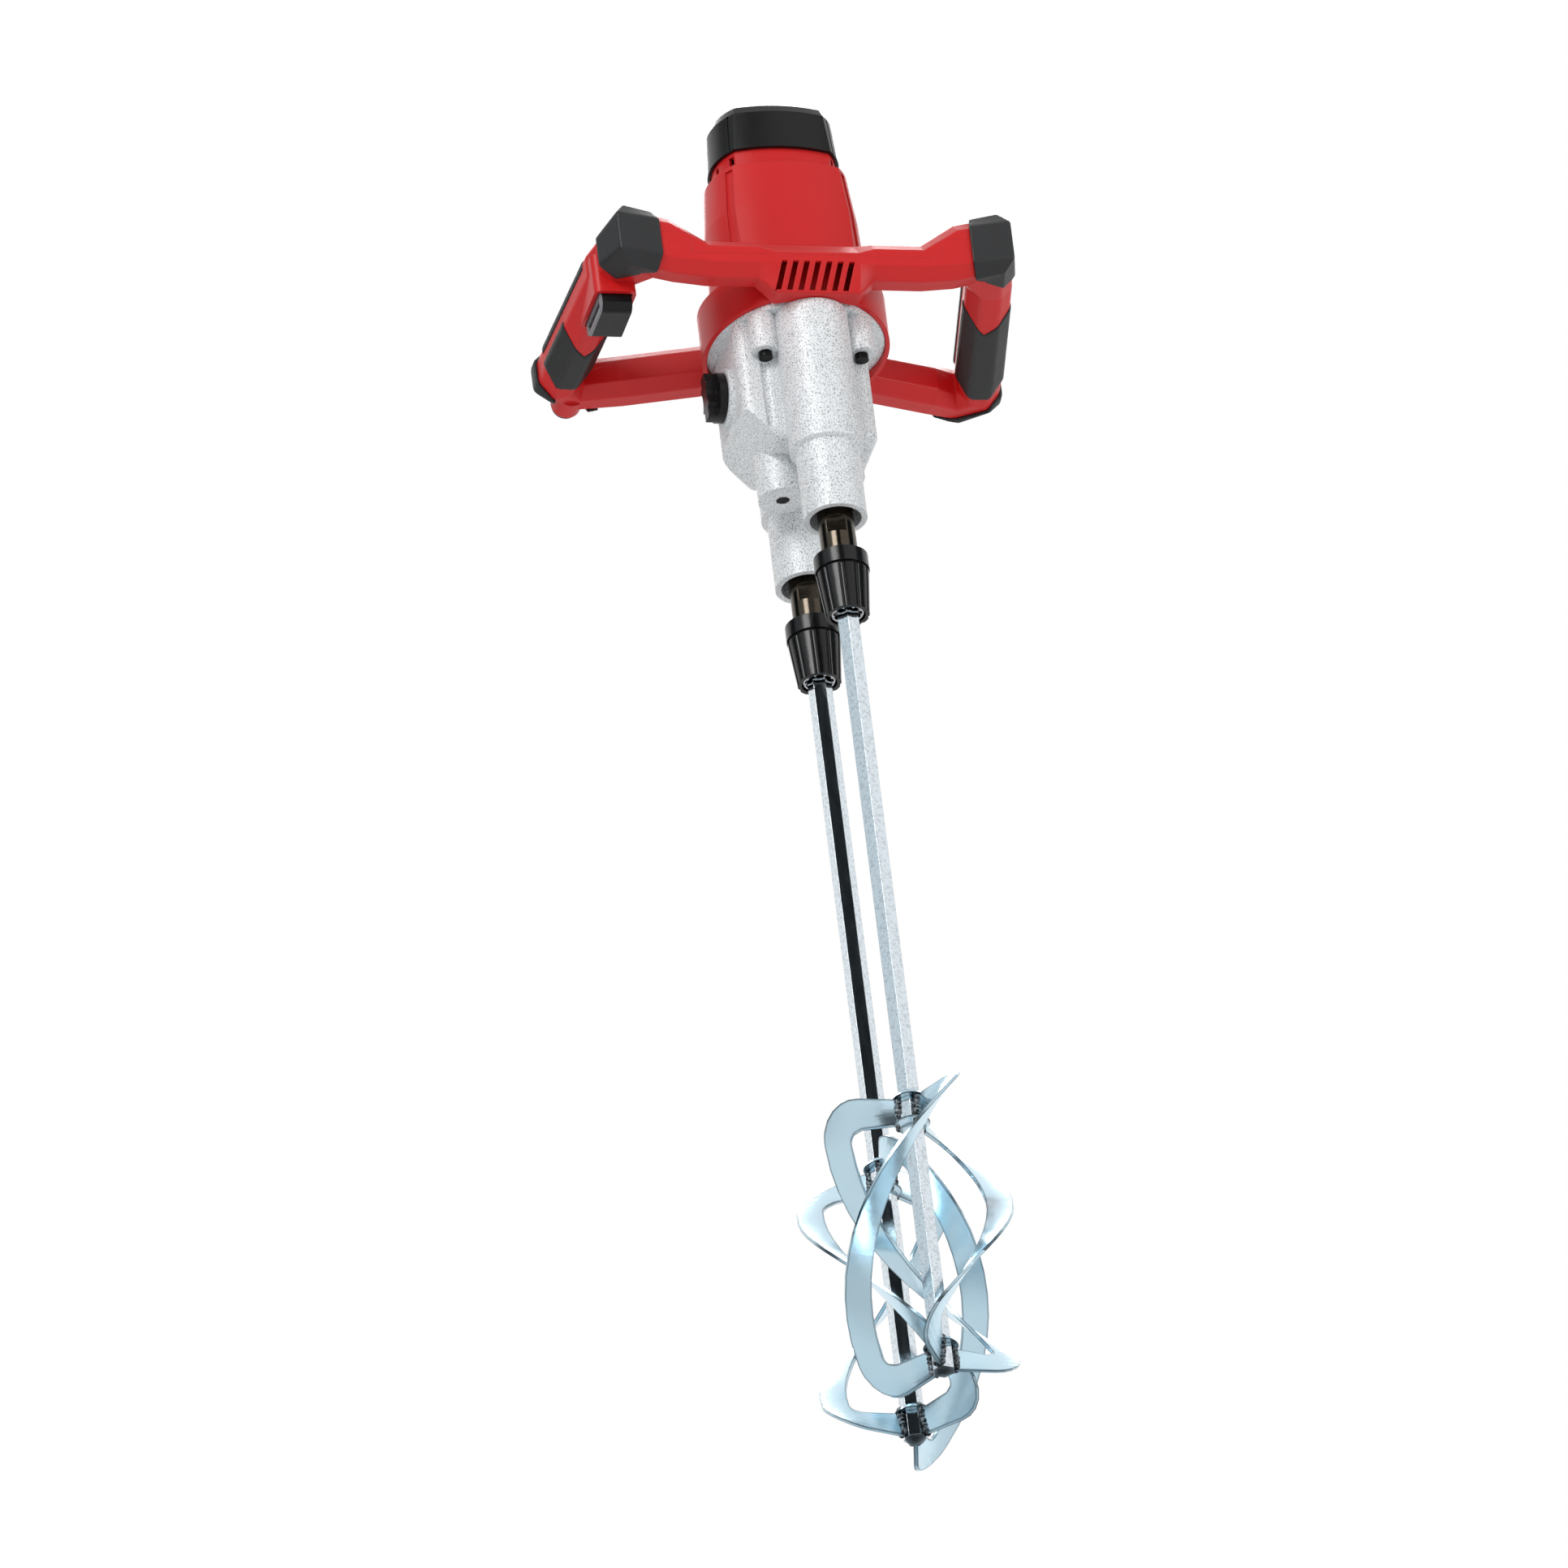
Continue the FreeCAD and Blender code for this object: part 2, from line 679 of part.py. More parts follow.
def gear_housing():
    inner_left_x = CASE_LEFT_X + CASE_WALL
    inner_right_x = CASE_RIGHT_X - CASE_WALL
    inner_half_y = CASE_HALF_Y - CASE_WALL
    inner_corner_r = CASE_CORNER_R - CASE_WALL
    above_z = CASE_TOP_Z + CASE_WALL
    corner_r = CASE_OUTER_CORNER_R
    body = rounded_plan(CASE_LEFT_X, CASE_RIGHT_X, CASE_HALF_Y, corner_r, CASE_BOTTOM_Z, CASE_TOP_Z)
    low_edges = [edge for edge in body.Edges if edge.BoundBox.ZMax < CASE_BOTTOM_Z + CASE_WALL]
    body = body.makeFillet(CASE_EDGE_R, low_edges).cut(case_slope(0))
    solids = [case_tube(side * SPINDLE_Y) for name, side in SPINDLE_SIDES]
    foot_top_z = CASE_FLOOR_Z + CASE_FLOOR_THICK
    solids.append(cylinder(FOOT_BOSS_R, FOOT_BOSS_Z, foot_top_z, FOOT_BOSS_X, FOOT_BOSS_Y))
    bulge_top_z = DRIVE_TOP_Z + GEAR_GAP
    bulge_low_z = CASE_BOTTOM_Z + CASE_EDGE_R
    bulge_r = IDLER_BULGE_R + CASE_WALL
    solids.append(cylinder(bulge_r, bulge_low_z, bulge_top_z + CASE_WALL, IDLER_X, IDLER_Y))
    solids.extend(case_bosses())
    boss_start = Vector(CASE_LEFT_X + CASE_WALL, 0, SELECTOR_Z)
    boss_end = Vector(CASE_LEFT_X - SELECTOR_BOSS, 0, SELECTOR_Z)
    solids.append(cylinder_along(SELECTOR_BOSS_R, boss_start, boss_end))
    for solid in solids:
        body = body.fuse(solid)
    inside = rounded_plan(inner_left_x, inner_right_x, inner_half_y, inner_corner_r, CASE_FLOOR_Z, above_z)
    hollows = [inside.cut(case_slope(CASE_SLOPE_WALL))]
    hollows.extend(case_tube_hollow(side * SPINDLE_Y) for name, side in SPINDLE_SIDES)
    hollows.append(cylinder(IDLER_BULGE_R, CASE_FLOOR_Z, bulge_top_z, IDLER_X, IDLER_Y))
    hole_low_z = CASE_FLOOR_Z - SHAFT_HOLE_DEEP
    hollows.append(cylinder(CENTRE_SHAFT_R + RUN_CLEAR, hole_low_z, CASE_FLOOR_Z))
    hollows.append(cylinder(IDLER_PIN_R, hole_low_z, CASE_FLOOR_Z, IDLER_X, IDLER_Y))
    hollows.append(cylinder(FORK_RAIL_R, hole_low_z, CASE_FLOOR_Z, FORK_RAIL_X, FORK_RAIL_Y))
    hollows.append(cylinder_along(KNOB_SHAFT_R + RUN_CLEAR, boss_start, boss_end))
    hollows.extend(cylinder(CASE_SCREW_R, CASE_BOSS_Z, above_z, x, y) for x, y in case_screw_places())
    recess_r = CASE_SCREW_HEAD_R + SEAT_CLEAR
    recess_low_z = CASE_BOSS_Z - CASE_SCREW_HEAD - SEAT_CLEAR
    hollows.extend(cylinder(recess_r, recess_low_z, CASE_BOSS_Z, x, y) for x, y in case_screw_places())
    groove_x = -CASE_BOSS_X
    groove_y = -CASE_HALF_Y - CASE_GROOVE_R + CASE_GROOVE_DEPTH
    groove_top_z = CASE_BOSS_Z - CASE_SCREW_HEAD
    hollows.append(cylinder(CASE_GROOVE_R, CASE_GROOVE_LOW_Z, groove_top_z, groove_x, groove_y))
    foot_screw_top = FOOT_BOSS_Z + CASE_SCREW_HEAD
    hollows.append(cylinder(CASE_SCREW_HEAD_R, FOOT_BOSS_Z, foot_screw_top, FOOT_BOSS_X, FOOT_BOSS_Y))
    body = carved(body, hollows)
    for x in (inner_left_x, inner_right_x):
        for y in (-inner_half_y, inner_half_y):
            ledge = cylinder(CASE_CORNER_R, BRIDGE_LOW_Z - GEAR_GAP, BRIDGE_LOW_Z, x, y)
            body = body.fuse(ledge.common(inside))
    return main_solid(merged_faces(body))


def gear_bridge():
    inner_left_x = CASE_LEFT_X + CASE_WALL + SEAT_CLEAR
    inner_right_x = CASE_RIGHT_X - CASE_WALL - SEAT_CLEAR
    half_y = CASE_HALF_Y - CASE_WALL - SEAT_CLEAR
    corner_r = CASE_CORNER_R - CASE_WALL
    plate = rounded_plan(inner_left_x, inner_right_x, half_y, corner_r, BRIDGE_LOW_Z, BRIDGE_TOP_Z)
    centre_hole = cylinder(CENTRE_SHAFT_R + RUN_CLEAR, BRIDGE_LOW_Z, BRIDGE_TOP_Z)
    lay_hole = cylinder(LAYSHAFT_R + RUN_CLEAR, BRIDGE_LOW_Z, BRIDGE_TOP_Z, LAYSHAFT_X, 0)
    rail_hole = cylinder(FORK_RAIL_R, BRIDGE_LOW_Z, BRIDGE_TOP_Z, FORK_RAIL_X, FORK_RAIL_Y)
    holes = [centre_hole, lay_hole, rail_hole]
    gap_r = SHAFT_R + GEAR_GAP
    for name, side in SPINDLE_SIDES:
        holes.append(cylinder(gap_r, BRIDGE_LOW_Z, BRIDGE_TOP_Z, 0, side * SPINDLE_Y))
    return carved(plate, holes)


def gear_housing_screws():
    screws = []
    for x, y in case_screw_places():
        head = cylinder(CASE_SCREW_HEAD_R, CASE_BOSS_Z - CASE_SCREW_HEAD, CASE_BOSS_Z, x, y)
        shank = cylinder(CASE_SCREW_R, CASE_BOSS_Z, CASE_TOP_Z + SHAFT_HOLE_DEEP, x, y)
        screws.append(fused([head, shank]))
    head_r = CASE_SCREW_HEAD_R - SEAT_CLEAR
    foot_top = FOOT_BOSS_Z + CASE_SCREW_HEAD
    screws.append(cylinder(head_r, FOOT_BOSS_Z + SEAT_CLEAR, foot_top, FOOT_BOSS_X, FOOT_BOSS_Y))
    return group(screws)


def bearing_plate():
    plate_r = COLLAR_R - HOUSING_WALL - SEAT_CLEAR
    hole_top_z = CASE_TOP_Z + SHAFT_HOLE_DEEP
    solids = [cylinder(plate_r, CASE_TOP_Z, PLATE_TOP_Z)]
    holes = [cylinder(MOTOR_BEARING_R, CASE_TOP_Z, PLATE_TOP_Z)]
    holes.append(cylinder(LAYSHAFT_R + RUN_CLEAR, CASE_TOP_Z, hole_top_z, LAYSHAFT_X, 0))
    holes.extend(cylinder(CASE_SCREW_R, CASE_TOP_Z, hole_top_z, x, y) for x, y in case_screw_places())
    boss_low_z = CASE_TOP_Z - PLATE_BOSS_DEEP
    for name, side in SPINDLE_SIDES:
        solids.append(cylinder(PLATE_BOSS_R, boss_low_z, CASE_TOP_Z, 0, side * SPINDLE_Y))
        holes.append(cylinder(SPINDLE_TOP_BEARING_R, boss_low_z, CASE_TOP_Z, 0, side * SPINDLE_Y))
    gear_room_r = FIRST_MODULE * FIRST_GEAR_TEETH / 2 + GEAR_GAP
    holes.append(cylinder(gear_room_r, boss_low_z, CASE_TOP_Z, LAYSHAFT_X, 0))
    return main_solid(carved(fused(solids), holes))


# Gear train pieces

def layshaft():
    shaft_top = CASE_TOP_Z + SHAFT_HOLE_DEEP - SEAT_CLEAR
    shaft_low = HIGH_LOW_Z - SEAT_CLEAR
    return cylinder(LAYSHAFT_R, shaft_low, shaft_top, LAYSHAFT_X, 0)


def layshaft_gear():
    phase = FIRST_GEAR_PHASE
    return gear(FIRST_GEAR_TEETH, FIRST_MODULE, FIRST_LOW_Z, FIRST_TOP_Z, LAYSHAFT_R, phase, LAYSHAFT_X)


def layshaft_pinions():
    pinions = []
    for teeth, low_z, high_z, phase in (
        (LOW_PINION_TEETH, LOW_LOW_Z, LOW_TOP_Z, LOW_PINION_PHASE),
        (HIGH_PINION_TEETH, HIGH_LOW_Z, HIGH_TOP_Z, HIGH_PINION_PHASE),
    ):
        pinions.append(gear(teeth, SECOND_MODULE, low_z, high_z, LAYSHAFT_R, phase, LAYSHAFT_X))
    return group(pinions)


def motor_pinion():
    return gear(MOTOR_PINION_TEETH, FIRST_MODULE, FIRST_LOW_Z, FIRST_TOP_Z, PINION_BORE_R, 0)


def centre_shaft():
    low_z = CASE_FLOOR_Z - SHAFT_HOLE_DEEP + SEAT_CLEAR
    return cylinder(CENTRE_SHAFT_R, low_z, BRIDGE_TOP_Z)


def dog(clearance, height, low_z):
    half = DOG_WIDTH / 2 + clearance
    block = box(DOG_IN_R - clearance, DOG_OUT_R + clearance, -half, half, low_z, low_z + height)
    return [around(block, FULL_TURN * step / DOG_COUNT) for step in range(DOG_COUNT)]


def low_gear():
    blank = gear(LOW_GEAR_TEETH, SECOND_MODULE, LOW_LOW_Z, LOW_TOP_Z, CENTRE_SHAFT_R, 0)
    pocket_height = DOG_HEIGHT - GEAR_GAP + DOG_CLEAR
    return carved(blank, dog(DOG_CLEAR, pocket_height, LOW_LOW_Z))


def high_gear():
    return gear(HIGH_GEAR_TEETH, SECOND_MODULE, HIGH_LOW_Z, HIGH_TOP_Z, CENTRE_SHAFT_R + RUN_CLEAR, 0)


def drive_gear():
    return gear(DRIVE_GEAR_TEETH, DRIVE_MODULE, DRIVE_LOW_Z, DRIVE_TOP_Z, CENTRE_SHAFT_R, DRIVE_PHASE)


def shift_sleeve():
    groove_mid = (SLEEVE_TOP_Z + SLEEVE_LOW_Z) / 2
    groove_half = SLEEVE_GROOVE_WIDTH / 2
    body = cylinder(SLEEVE_R, SLEEVE_LOW_Z, SLEEVE_TOP_Z)
    body = body.cut(tube(SLEEVE_R, SLEEVE_GROOVE_R, groove_mid - groove_half, groove_mid + groove_half))
    body = body.fuse(dog(0, DOG_HEIGHT, SLEEVE_TOP_Z))
    bore = cylinder(CENTRE_SHAFT_R + RUN_CLEAR, SLEEVE_LOW_Z, SLEEVE_TOP_Z + DOG_HEIGHT)
    return merged_faces(body.cut(bore))


def shift_fork():
    groove_mid = (SLEEVE_TOP_Z + SLEEVE_LOW_Z) / 2
    half = SLEEVE_GROOVE_WIDTH / 2 - SEAT_CLEAR
    low_z = groove_mid - half
    high_z = groove_mid + half
    web = box(FORK_LEFT_X, 0, -FORK_HALF_Y, FORK_HALF_Y, low_z, high_z)
    arms = cylinder(FORK_ARM_R, low_z, high_z)
    hub = cylinder(FORK_HUB_R, groove_mid - FORK_TAB_HALF_Z, groove_mid + half, FORK_RAIL_X, FORK_RAIL_Y)
    tab_right_x = FORK_LEFT_X + FORK_TAB
    tab_low_z = groove_mid - FORK_TAB_HALF_Z
    tab_high_z = groove_mid + FORK_TAB_HALF_Z
    tab = box(FORK_LEFT_X, tab_right_x, -FORK_TAB_HALF_Y, FORK_TAB_HALF_Y, tab_low_z, tab_high_z)
    body = fused([web, arms, hub, tab])
    body = body.cut(cylinder(SLEEVE_GROOVE_R + SEAT_CLEAR, low_z, high_z))
    open_half = SLEEVE_GROOVE_R + SEAT_CLEAR
    body = body.cut(box(0, FORK_ARM_R, -open_half, open_half, low_z, high_z))
    body = body.cut(cylinder(LAYSHAFT_R + GEAR_GAP, low_z, high_z, LAYSHAFT_X, 0))
    body = body.cut(cylinder(FORK_RAIL_R + RUN_CLEAR, tab_low_z, high_z, FORK_RAIL_X, FORK_RAIL_Y))
    slot_half_z = CRANK_PIN_R + FORK_SLOT_CLEAR
    slot_half_y = CRANK_PIN_R + CRANK_OFFSET + FORK_SLOT_CLEAR
    slot_low_z = groove_mid - slot_half_z
    slot_high_z = groove_mid + slot_half_z
    slot = box(FORK_LEFT_X, tab_right_x, -slot_half_y, slot_half_y, slot_low_z, slot_high_z)
    return main_solid(body.cut(slot))


def fork_rail():
    return cylinder(FORK_RAIL_R, CASE_FLOOR_Z - SHAFT_HOLE_DEEP, BRIDGE_TOP_Z, FORK_RAIL_X, FORK_RAIL_Y)


def idler_gear():
    bore_r = IDLER_PIN_R + RUN_CLEAR
    low_z = REAR_GEAR_LOW_Z
    return gear(IDLER_TEETH, DRIVE_MODULE, low_z, DRIVE_TOP_Z, bore_r, IDLER_PHASE, IDLER_X, IDLER_Y)


def idler_pin():
    return cylinder(IDLER_PIN_R, CASE_FLOOR_Z - SHAFT_HOLE_DEEP, DRIVE_TOP_Z + GEAR_GAP, IDLER_X, IDLER_Y)


def selector_knob():
    face_x = CASE_LEFT_X - SELECTOR_BOSS - SEAT_CLEAR
    disc_end = face_x - KNOB_THICK
    bar_end = disc_end - KNOB_BAR_HEIGHT
    disc = cylinder_along(KNOB_R, Vector(face_x, 0, SELECTOR_Z), Vector(disc_end, 0, SELECTOR_Z))
    bar = box(bar_end, disc_end, -KNOB_BAR_HALF, KNOB_BAR_HALF, SELECTOR_Z - KNOB_R, SELECTOR_Z + KNOB_R)
    hub = cylinder_along(KNOB_LOBE_R, Vector(disc_end, 0, SELECTOR_Z), Vector(bar_end, 0, SELECTOR_Z))
    limit = cylinder_along(KNOB_R, Vector(face_x, 0, SELECTOR_Z), Vector(bar_end, 0, SELECTOR_Z))
    shaft_end = CASE_LEFT_X + KNOB_SHAFT_LENGTH
    shaft = cylinder_along(KNOB_SHAFT_R, Vector(face_x, 0, SELECTOR_Z), Vector(shaft_end, 0, SELECTOR_Z))
    waist_shift = KNOB_R
    waist_r = KNOB_R - KNOB_BAR_HALF - FORK_SLOT_CLEAR
    waists = []
    for side in (-1, 1):
        start = Vector(disc_end, side * waist_shift, SELECTOR_Z)
        waists.append(cylinder_along(waist_r, start, Vector(bar_end, side * waist_shift, SELECTOR_Z)))
    grip = carved(bar.fuse(hub).common(limit), waists)
    return main_solid(fused([disc, grip, shaft, crank_pin()]))


def crank_pin():
    shaft_end = CASE_LEFT_X + KNOB_SHAFT_LENGTH
    pin_end = FORK_LEFT_X + FORK_TAB - SEAT_CLEAR
    pin_z = SELECTOR_Z + CRANK_OFFSET
    return cylinder_along(CRANK_PIN_R, Vector(shaft_end, 0, pin_z), Vector(pin_end, 0, pin_z))


# Spindles, couplings and rods

def hexagon(flats, low_z, high_z, angle):
    corner_r = flats / math.sqrt(3)
    points = []
    for corner in range(HEX_SIDES):
        turn = math.radians(angle + corner * FULL_TURN / HEX_SIDES)
        points.append((corner_r * math.cos(turn), corner_r * math.sin(turn)))
    return prism(points, low_z, high_z)


def spindle(hex_angle):
    body = fused([
        cylinder(SHAFT_R, STEM_TOP_Z, SHAFT_TOP_Z),
        cylinder(STEM_NECK_R, STEM_GUIDE_Z, STEM_TOP_Z),
        cylinder(STEM_R, STEM_LOW_Z, STEM_GUIDE_Z),
        cylinder(NOSE_R, NOSE_LOW_Z, STEM_LOW_Z),
    ])
    socket = hexagon(ROD_FLATS + 2 * ROD_CLEAR, NOSE_LOW_Z, SOCKET_TOP_Z, hex_angle)
    flats = [box(FLAT_HALF, STEM_R, -STEM_R, STEM_R, FLAT_LOW_Z, FLAT_TOP_Z)]
    flats.append(mirrored_x(flats[0]))
    body = carved(body.cut(socket), [around(flat, FLAT_ANGLE) for flat in flats])
    return main_solid(body)


def coupling_sleeve():
    collar_low = COUPLING_TOP_Z - COUPLING_COLLAR
    neck_low = collar_low - COUPLING_NECK
    nose_r = NOSE_R + COUPLING_NOSE_CLEAR
    bore_r = STEM_R + SLIDE_CLEAR
    lip_r = STEM_NECK_R + SLIDE_CLEAR
    lip_low = COUPLING_TOP_Z - COUPLING_LIP
    sleeve = turned([
        (bore_r, lip_low),
        (lip_r, lip_low),
        (lip_r, COUPLING_TOP_Z),
        (COUPLING_COLLAR_R, COUPLING_TOP_Z),
        (COUPLING_COLLAR_R, collar_low),
        (COUPLING_NECK_R, collar_low),
        (COUPLING_NECK_R, neck_low),
        (COUPLING_TOP_R, neck_low),
        (COUPLING_LOW_R, COUPLING_LOW_Z),
        (nose_r, COUPLING_LOW_Z),
        (nose_r, COUPLING_STEP_Z),
        (bore_r, COUPLING_STEP_Z),
    ])
    for step in range(FLUTE_COUNT):
        turn = math.radians(FULL_TURN * step / FLUTE_COUNT)
        top_r = COUPLING_TOP_R + FLUTE_R - FLUTE_DEPTH
        low_r = COUPLING_LOW_R + FLUTE_R - FLUTE_DEPTH
        start = Vector(top_r * math.cos(turn), top_r * math.sin(turn), neck_low)
        end = Vector(low_r * math.cos(turn), low_r * math.sin(turn), COUPLING_LOW_Z)
        run = (end - start) * (1 / 2)
        sleeve = sleeve.cut(cylinder_along(FLUTE_R, start, end + run))
    return main_solid(sleeve)


def coupling_spring():
    outer_r = STEM_R - SEAT_CLEAR
    inner_r = NOSE_R + SEAT_CLEAR
    return tube(outer_r, inner_r, COUPLING_STEP_Z, STEM_LOW_Z)


def rod(hex_angle):
    return hexagon(ROD_FLATS, ROD_LOW_Z, SOCKET_TOP_Z, hex_angle)


def blade_levels():
    levels = []
    for step in range(BEND_STEPS + 1):
        share = step / BEND_STEPS
        levels.append(BLADE_OUTER_BEND * (1 - math.cos(share * math.pi / 2)))
    for step in range(1, BEND_STEPS + 1):
        share = step / BEND_STEPS
        levels.append(BLADE_WIDTH + BLADE_INNER_BEND * math.sin(share * math.pi / 2))
    arm_edge = BLADE_WIDTH
    levels.extend([arm_edge - RUN_CLEAR, arm_edge])
    return sorted(set(levels))


def blade_reach(depth):
    if depth >= BLADE_OUTER_BEND:
        return PADDLE_R
    drop = BLADE_OUTER_BEND - depth
    return PADDLE_R - BLADE_OUTER_BEND + math.sqrt(BLADE_OUTER_BEND ** 2 - drop ** 2)


def blade_inside(depth):
    inner_r = PADDLE_R - BLADE_WIDTH
    if depth < BLADE_WIDTH:
        return BLADE_ROOT_R
    if depth >= BLADE_WIDTH + BLADE_INNER_BEND:
        return inner_r
    drop = BLADE_WIDTH + BLADE_INNER_BEND - depth
    return inner_r - BLADE_INNER_BEND + math.sqrt(BLADE_INNER_BEND ** 2 - drop ** 2)


def blade(top_angle, twist):
    height = PADDLE_TOP_Z - PADDLE_LOW_Z
    ends = blade_levels()
    straight = height - 2 * ends[-1]
    depths = list(ends)
    depths.extend(ends[-1] + straight * step / TWIST_STEPS for step in range(1, TWIST_STEPS))
    depths.extend(height - depth for depth in reversed(ends))
    wires = []
    for depth in depths:
        near_end = min(depth, height - depth)
        turn = math.radians(top_angle + twist * depth / height)
        out = Vector(math.cos(turn), math.sin(turn), 0)
        across = Vector(-math.sin(turn), math.cos(turn), 0) * (BLADE_THICK / 2)
        level = Vector(0, 0, PADDLE_TOP_Z - depth)
        inner = level + out * blade_inside(near_end)
        outer = level + out * blade_reach(near_end)
        corners = [inner - across, outer - across, outer + across, inner + across]
        wires.append(Part.makePolygon(corners + corners[:1]))
    return Part.makeLoft(wires, True, True)


def paddle(top_angle, twist):
    return [blade(top_angle + step * BLADE_PITCH, twist) for step in range(BLADE_COUNT)]


def weld_rings(rod_shape):
    rings = []
    arm_edges = (PADDLE_TOP_Z - BLADE_WIDTH, PADDLE_LOW_Z + BLADE_WIDTH)
    for edge_z, lean in ((PADDLE_TOP_Z, 1), (arm_edges[0], -1), (arm_edges[1], 1)):
        run = Vector(0, 0, lean)
        ring = Part.makeCone(WELD_R, ROD_FLATS * WELD_TIP_SHARE, WELD_HEIGHT, Vector(0, 0, edge_z), run)
        rings.append(ring.cut(rod_shape))
    return rings


# Motor housing

def housing_levels(grow):
    return [
        (SHOULDER_HALF_X + grow, SHOULDER_HALF_Y + grow, SHOULDER_Z),
        (BELLY_HALF_X + grow, BELLY_HALF_Y + grow, BELLY_Z),
        (WAIST_HALF_X + grow, WAIST_HALF_Y + grow, WAIST_Z),
    ]


def housing_outer(grow):
    skirt = turned(closed_profile([
        (WAIST_HALF_Y + grow, WAIST_Z),
        (COLLAR_R + grow, COLLAR_TOP_Z),
        (COLLAR_R + grow, COLLAR_LOW_Z),
    ]))
    body = oval(housing_levels(grow) + [(WAIST_HALF_X + grow, WAIST_HALF_Y + grow, COLLAR_TOP_Z)])
    return [skirt, body]


def rear_block(shrink):
    half_x = REAR_BLOCK_HALF_X - shrink
    back_y = REAR_BLOCK_Y - shrink
    top_z = REAR_BLOCK_TOP_Z - shrink
    outline = [
        (0, REAR_BLOCK_LOW_Z),
        (back_y, REAR_BLOCK_LOW_Z),
        (back_y, top_z - REAR_BLOCK_CHAMFER),
        (back_y - REAR_BLOCK_CHAMFER, top_z),
        (0, top_z),
    ]
    return prism_x(outline, -half_x, half_x)


def below_collar():
    slope = (COLLAR_LOW_Z - COLLAR_FRONT_Z) / (2 * COLLAR_R)
    middle_z = (COLLAR_LOW_Z + COLLAR_FRONT_Z) / 2
    outline = [(-FAR, middle_z - slope * FAR), (FAR, middle_z + slope * FAR), (FAR, -FAR), (-FAR, -FAR)]
    return prism_x(outline, -FAR, FAR)


def panel_groove(angle):
    reach = BELLY_HALF_X + COLLAR_R
    groove_top_z = SHOULDER_Z - HOUSING_WALL
    groove = box(NECK_HALF_Y, reach, -PANEL_GROOVE_HALF, PANEL_GROOVE_HALF, PANEL_GROOVE_LOW_Z, groove_top_z)
    return around(groove, angle)


def housing_inside():
    wall = HOUSING_WALL
    top_z = SHOULDER_Z - wall
    levels = housing_levels(-wall)
    levels[0] = (SHOULDER_HALF_X - wall, SHOULDER_HALF_Y - wall, top_z)
    levels.append((WAIST_HALF_X - wall, WAIST_HALF_Y - wall, COLLAR_TOP_Z - wall))
    skirt = turned(closed_profile([
        (WAIST_HALF_Y - wall, WAIST_Z - wall),
        (COLLAR_R - wall, COLLAR_TOP_Z - wall),
        (COLLAR_R - wall, COLLAR_LOW_Z - wall),
    ]))
    neck_x = NECK_HALF_X - wall
    neck_y = NECK_HALF_Y - wall
    bore = oval([(neck_x, neck_y, NECK_TOP_Z + wall), (neck_x, neck_y, top_z - wall)])
    return [oval(levels), skirt, bore, rear_block(wall)]


def motor_housing():
    neck_low_z = SHOULDER_Z - HOUSING_WALL
    neck = oval([(NECK_HALF_X, NECK_HALF_Y, NECK_TOP_Z), (NECK_HALF_X, NECK_HALF_Y, neck_low_z)])
    body = housing_outer(0)[0]
    for piece in (housing_outer(0)[1], neck, rear_block(0)):
        body = body.fuse(piece)
    core = oval(housing_levels(-PANEL_GROOVE_DEPTH))
    body = carved(body, [panel_groove(angle).cut(core) for angle in PANEL_GROOVE_ANGLES])
    body = carved(body, housing_inside())
    clear_r = TUBE_UPPER_R + SEAT_CLEAR
    clear_low = COLLAR_LOW_Z - HOUSING_WALL
    clear_top = CASE_TOP_Z + SEAT_CLEAR
    for name, side in SPINDLE_SIDES:
        body = body.cut(cylinder(clear_r, clear_low, clear_top, 0, side * SPINDLE_Y))
    slots = []
    slot_low = SHOULDER_Z + NECK_SLOT_MARGIN
    slot_top = NECK_TOP_Z - NECK_SLOT_MARGIN
    for step in range(NECK_SLOT_COUNT):
        slot = box(NECK_HALF_Y / 2, SHOULDER_HALF_X, -NECK_SLOT_HALF, NECK_SLOT_HALF, slot_low, slot_top)
        angle = FULL_TURN * (step + 1 / 2) / NECK_SLOT_COUNT
        if abs(math.cos(math.radians(angle))) > NECK_SLOT_SIDE_SHARE:
            slots.append(around(slot, angle))
    return main_solid(carved(body, slots + [below_collar()]))


# Motor cap

def cap_screw_places():
    return [(side * CAP_SCREW_X, end * CAP_SCREW_Y) for side in (-1, 1) for end in (-1, 1)]


def cap_body(shrink):
    levels = [(CAP_LOW_HALF_X - shrink, CAP_LOW_HALF_Y - shrink, NECK_TOP_Z)]
    for inset, z in ((0, CAP_RIM_Z), (CAP_CROWN_INSET, CAP_CROWN_Z), (CAP_DOME_INSET, CAP_TOP_Z)):
        levels.append((CAP_RIM_HALF_X - inset - shrink, CAP_RIM_HALF_Y - inset - shrink, z - shrink))
    return oval(levels)


def cap_vents():
    vents = []
    span = (CAP_VENT_ROWS - 1) / 2
    half = CAP_VENT_HALF_LENGTH / 2
    low_z = CAP_RIM_Z - CAP_WALL
    for row in range(CAP_VENT_ROWS):
        x = (row - span) * CAP_VENT_PITCH
        for side in (-1, 1):
            y = side * CAP_VENT_Y / 2
            left_x = x - CAP_VENT_HALF_WIDTH
            right_x = x + CAP_VENT_HALF_WIDTH
            vents.append(box(left_x, right_x, y - half, y + half, low_z, CAP_TOP_Z + CAP_WALL))
    return vents


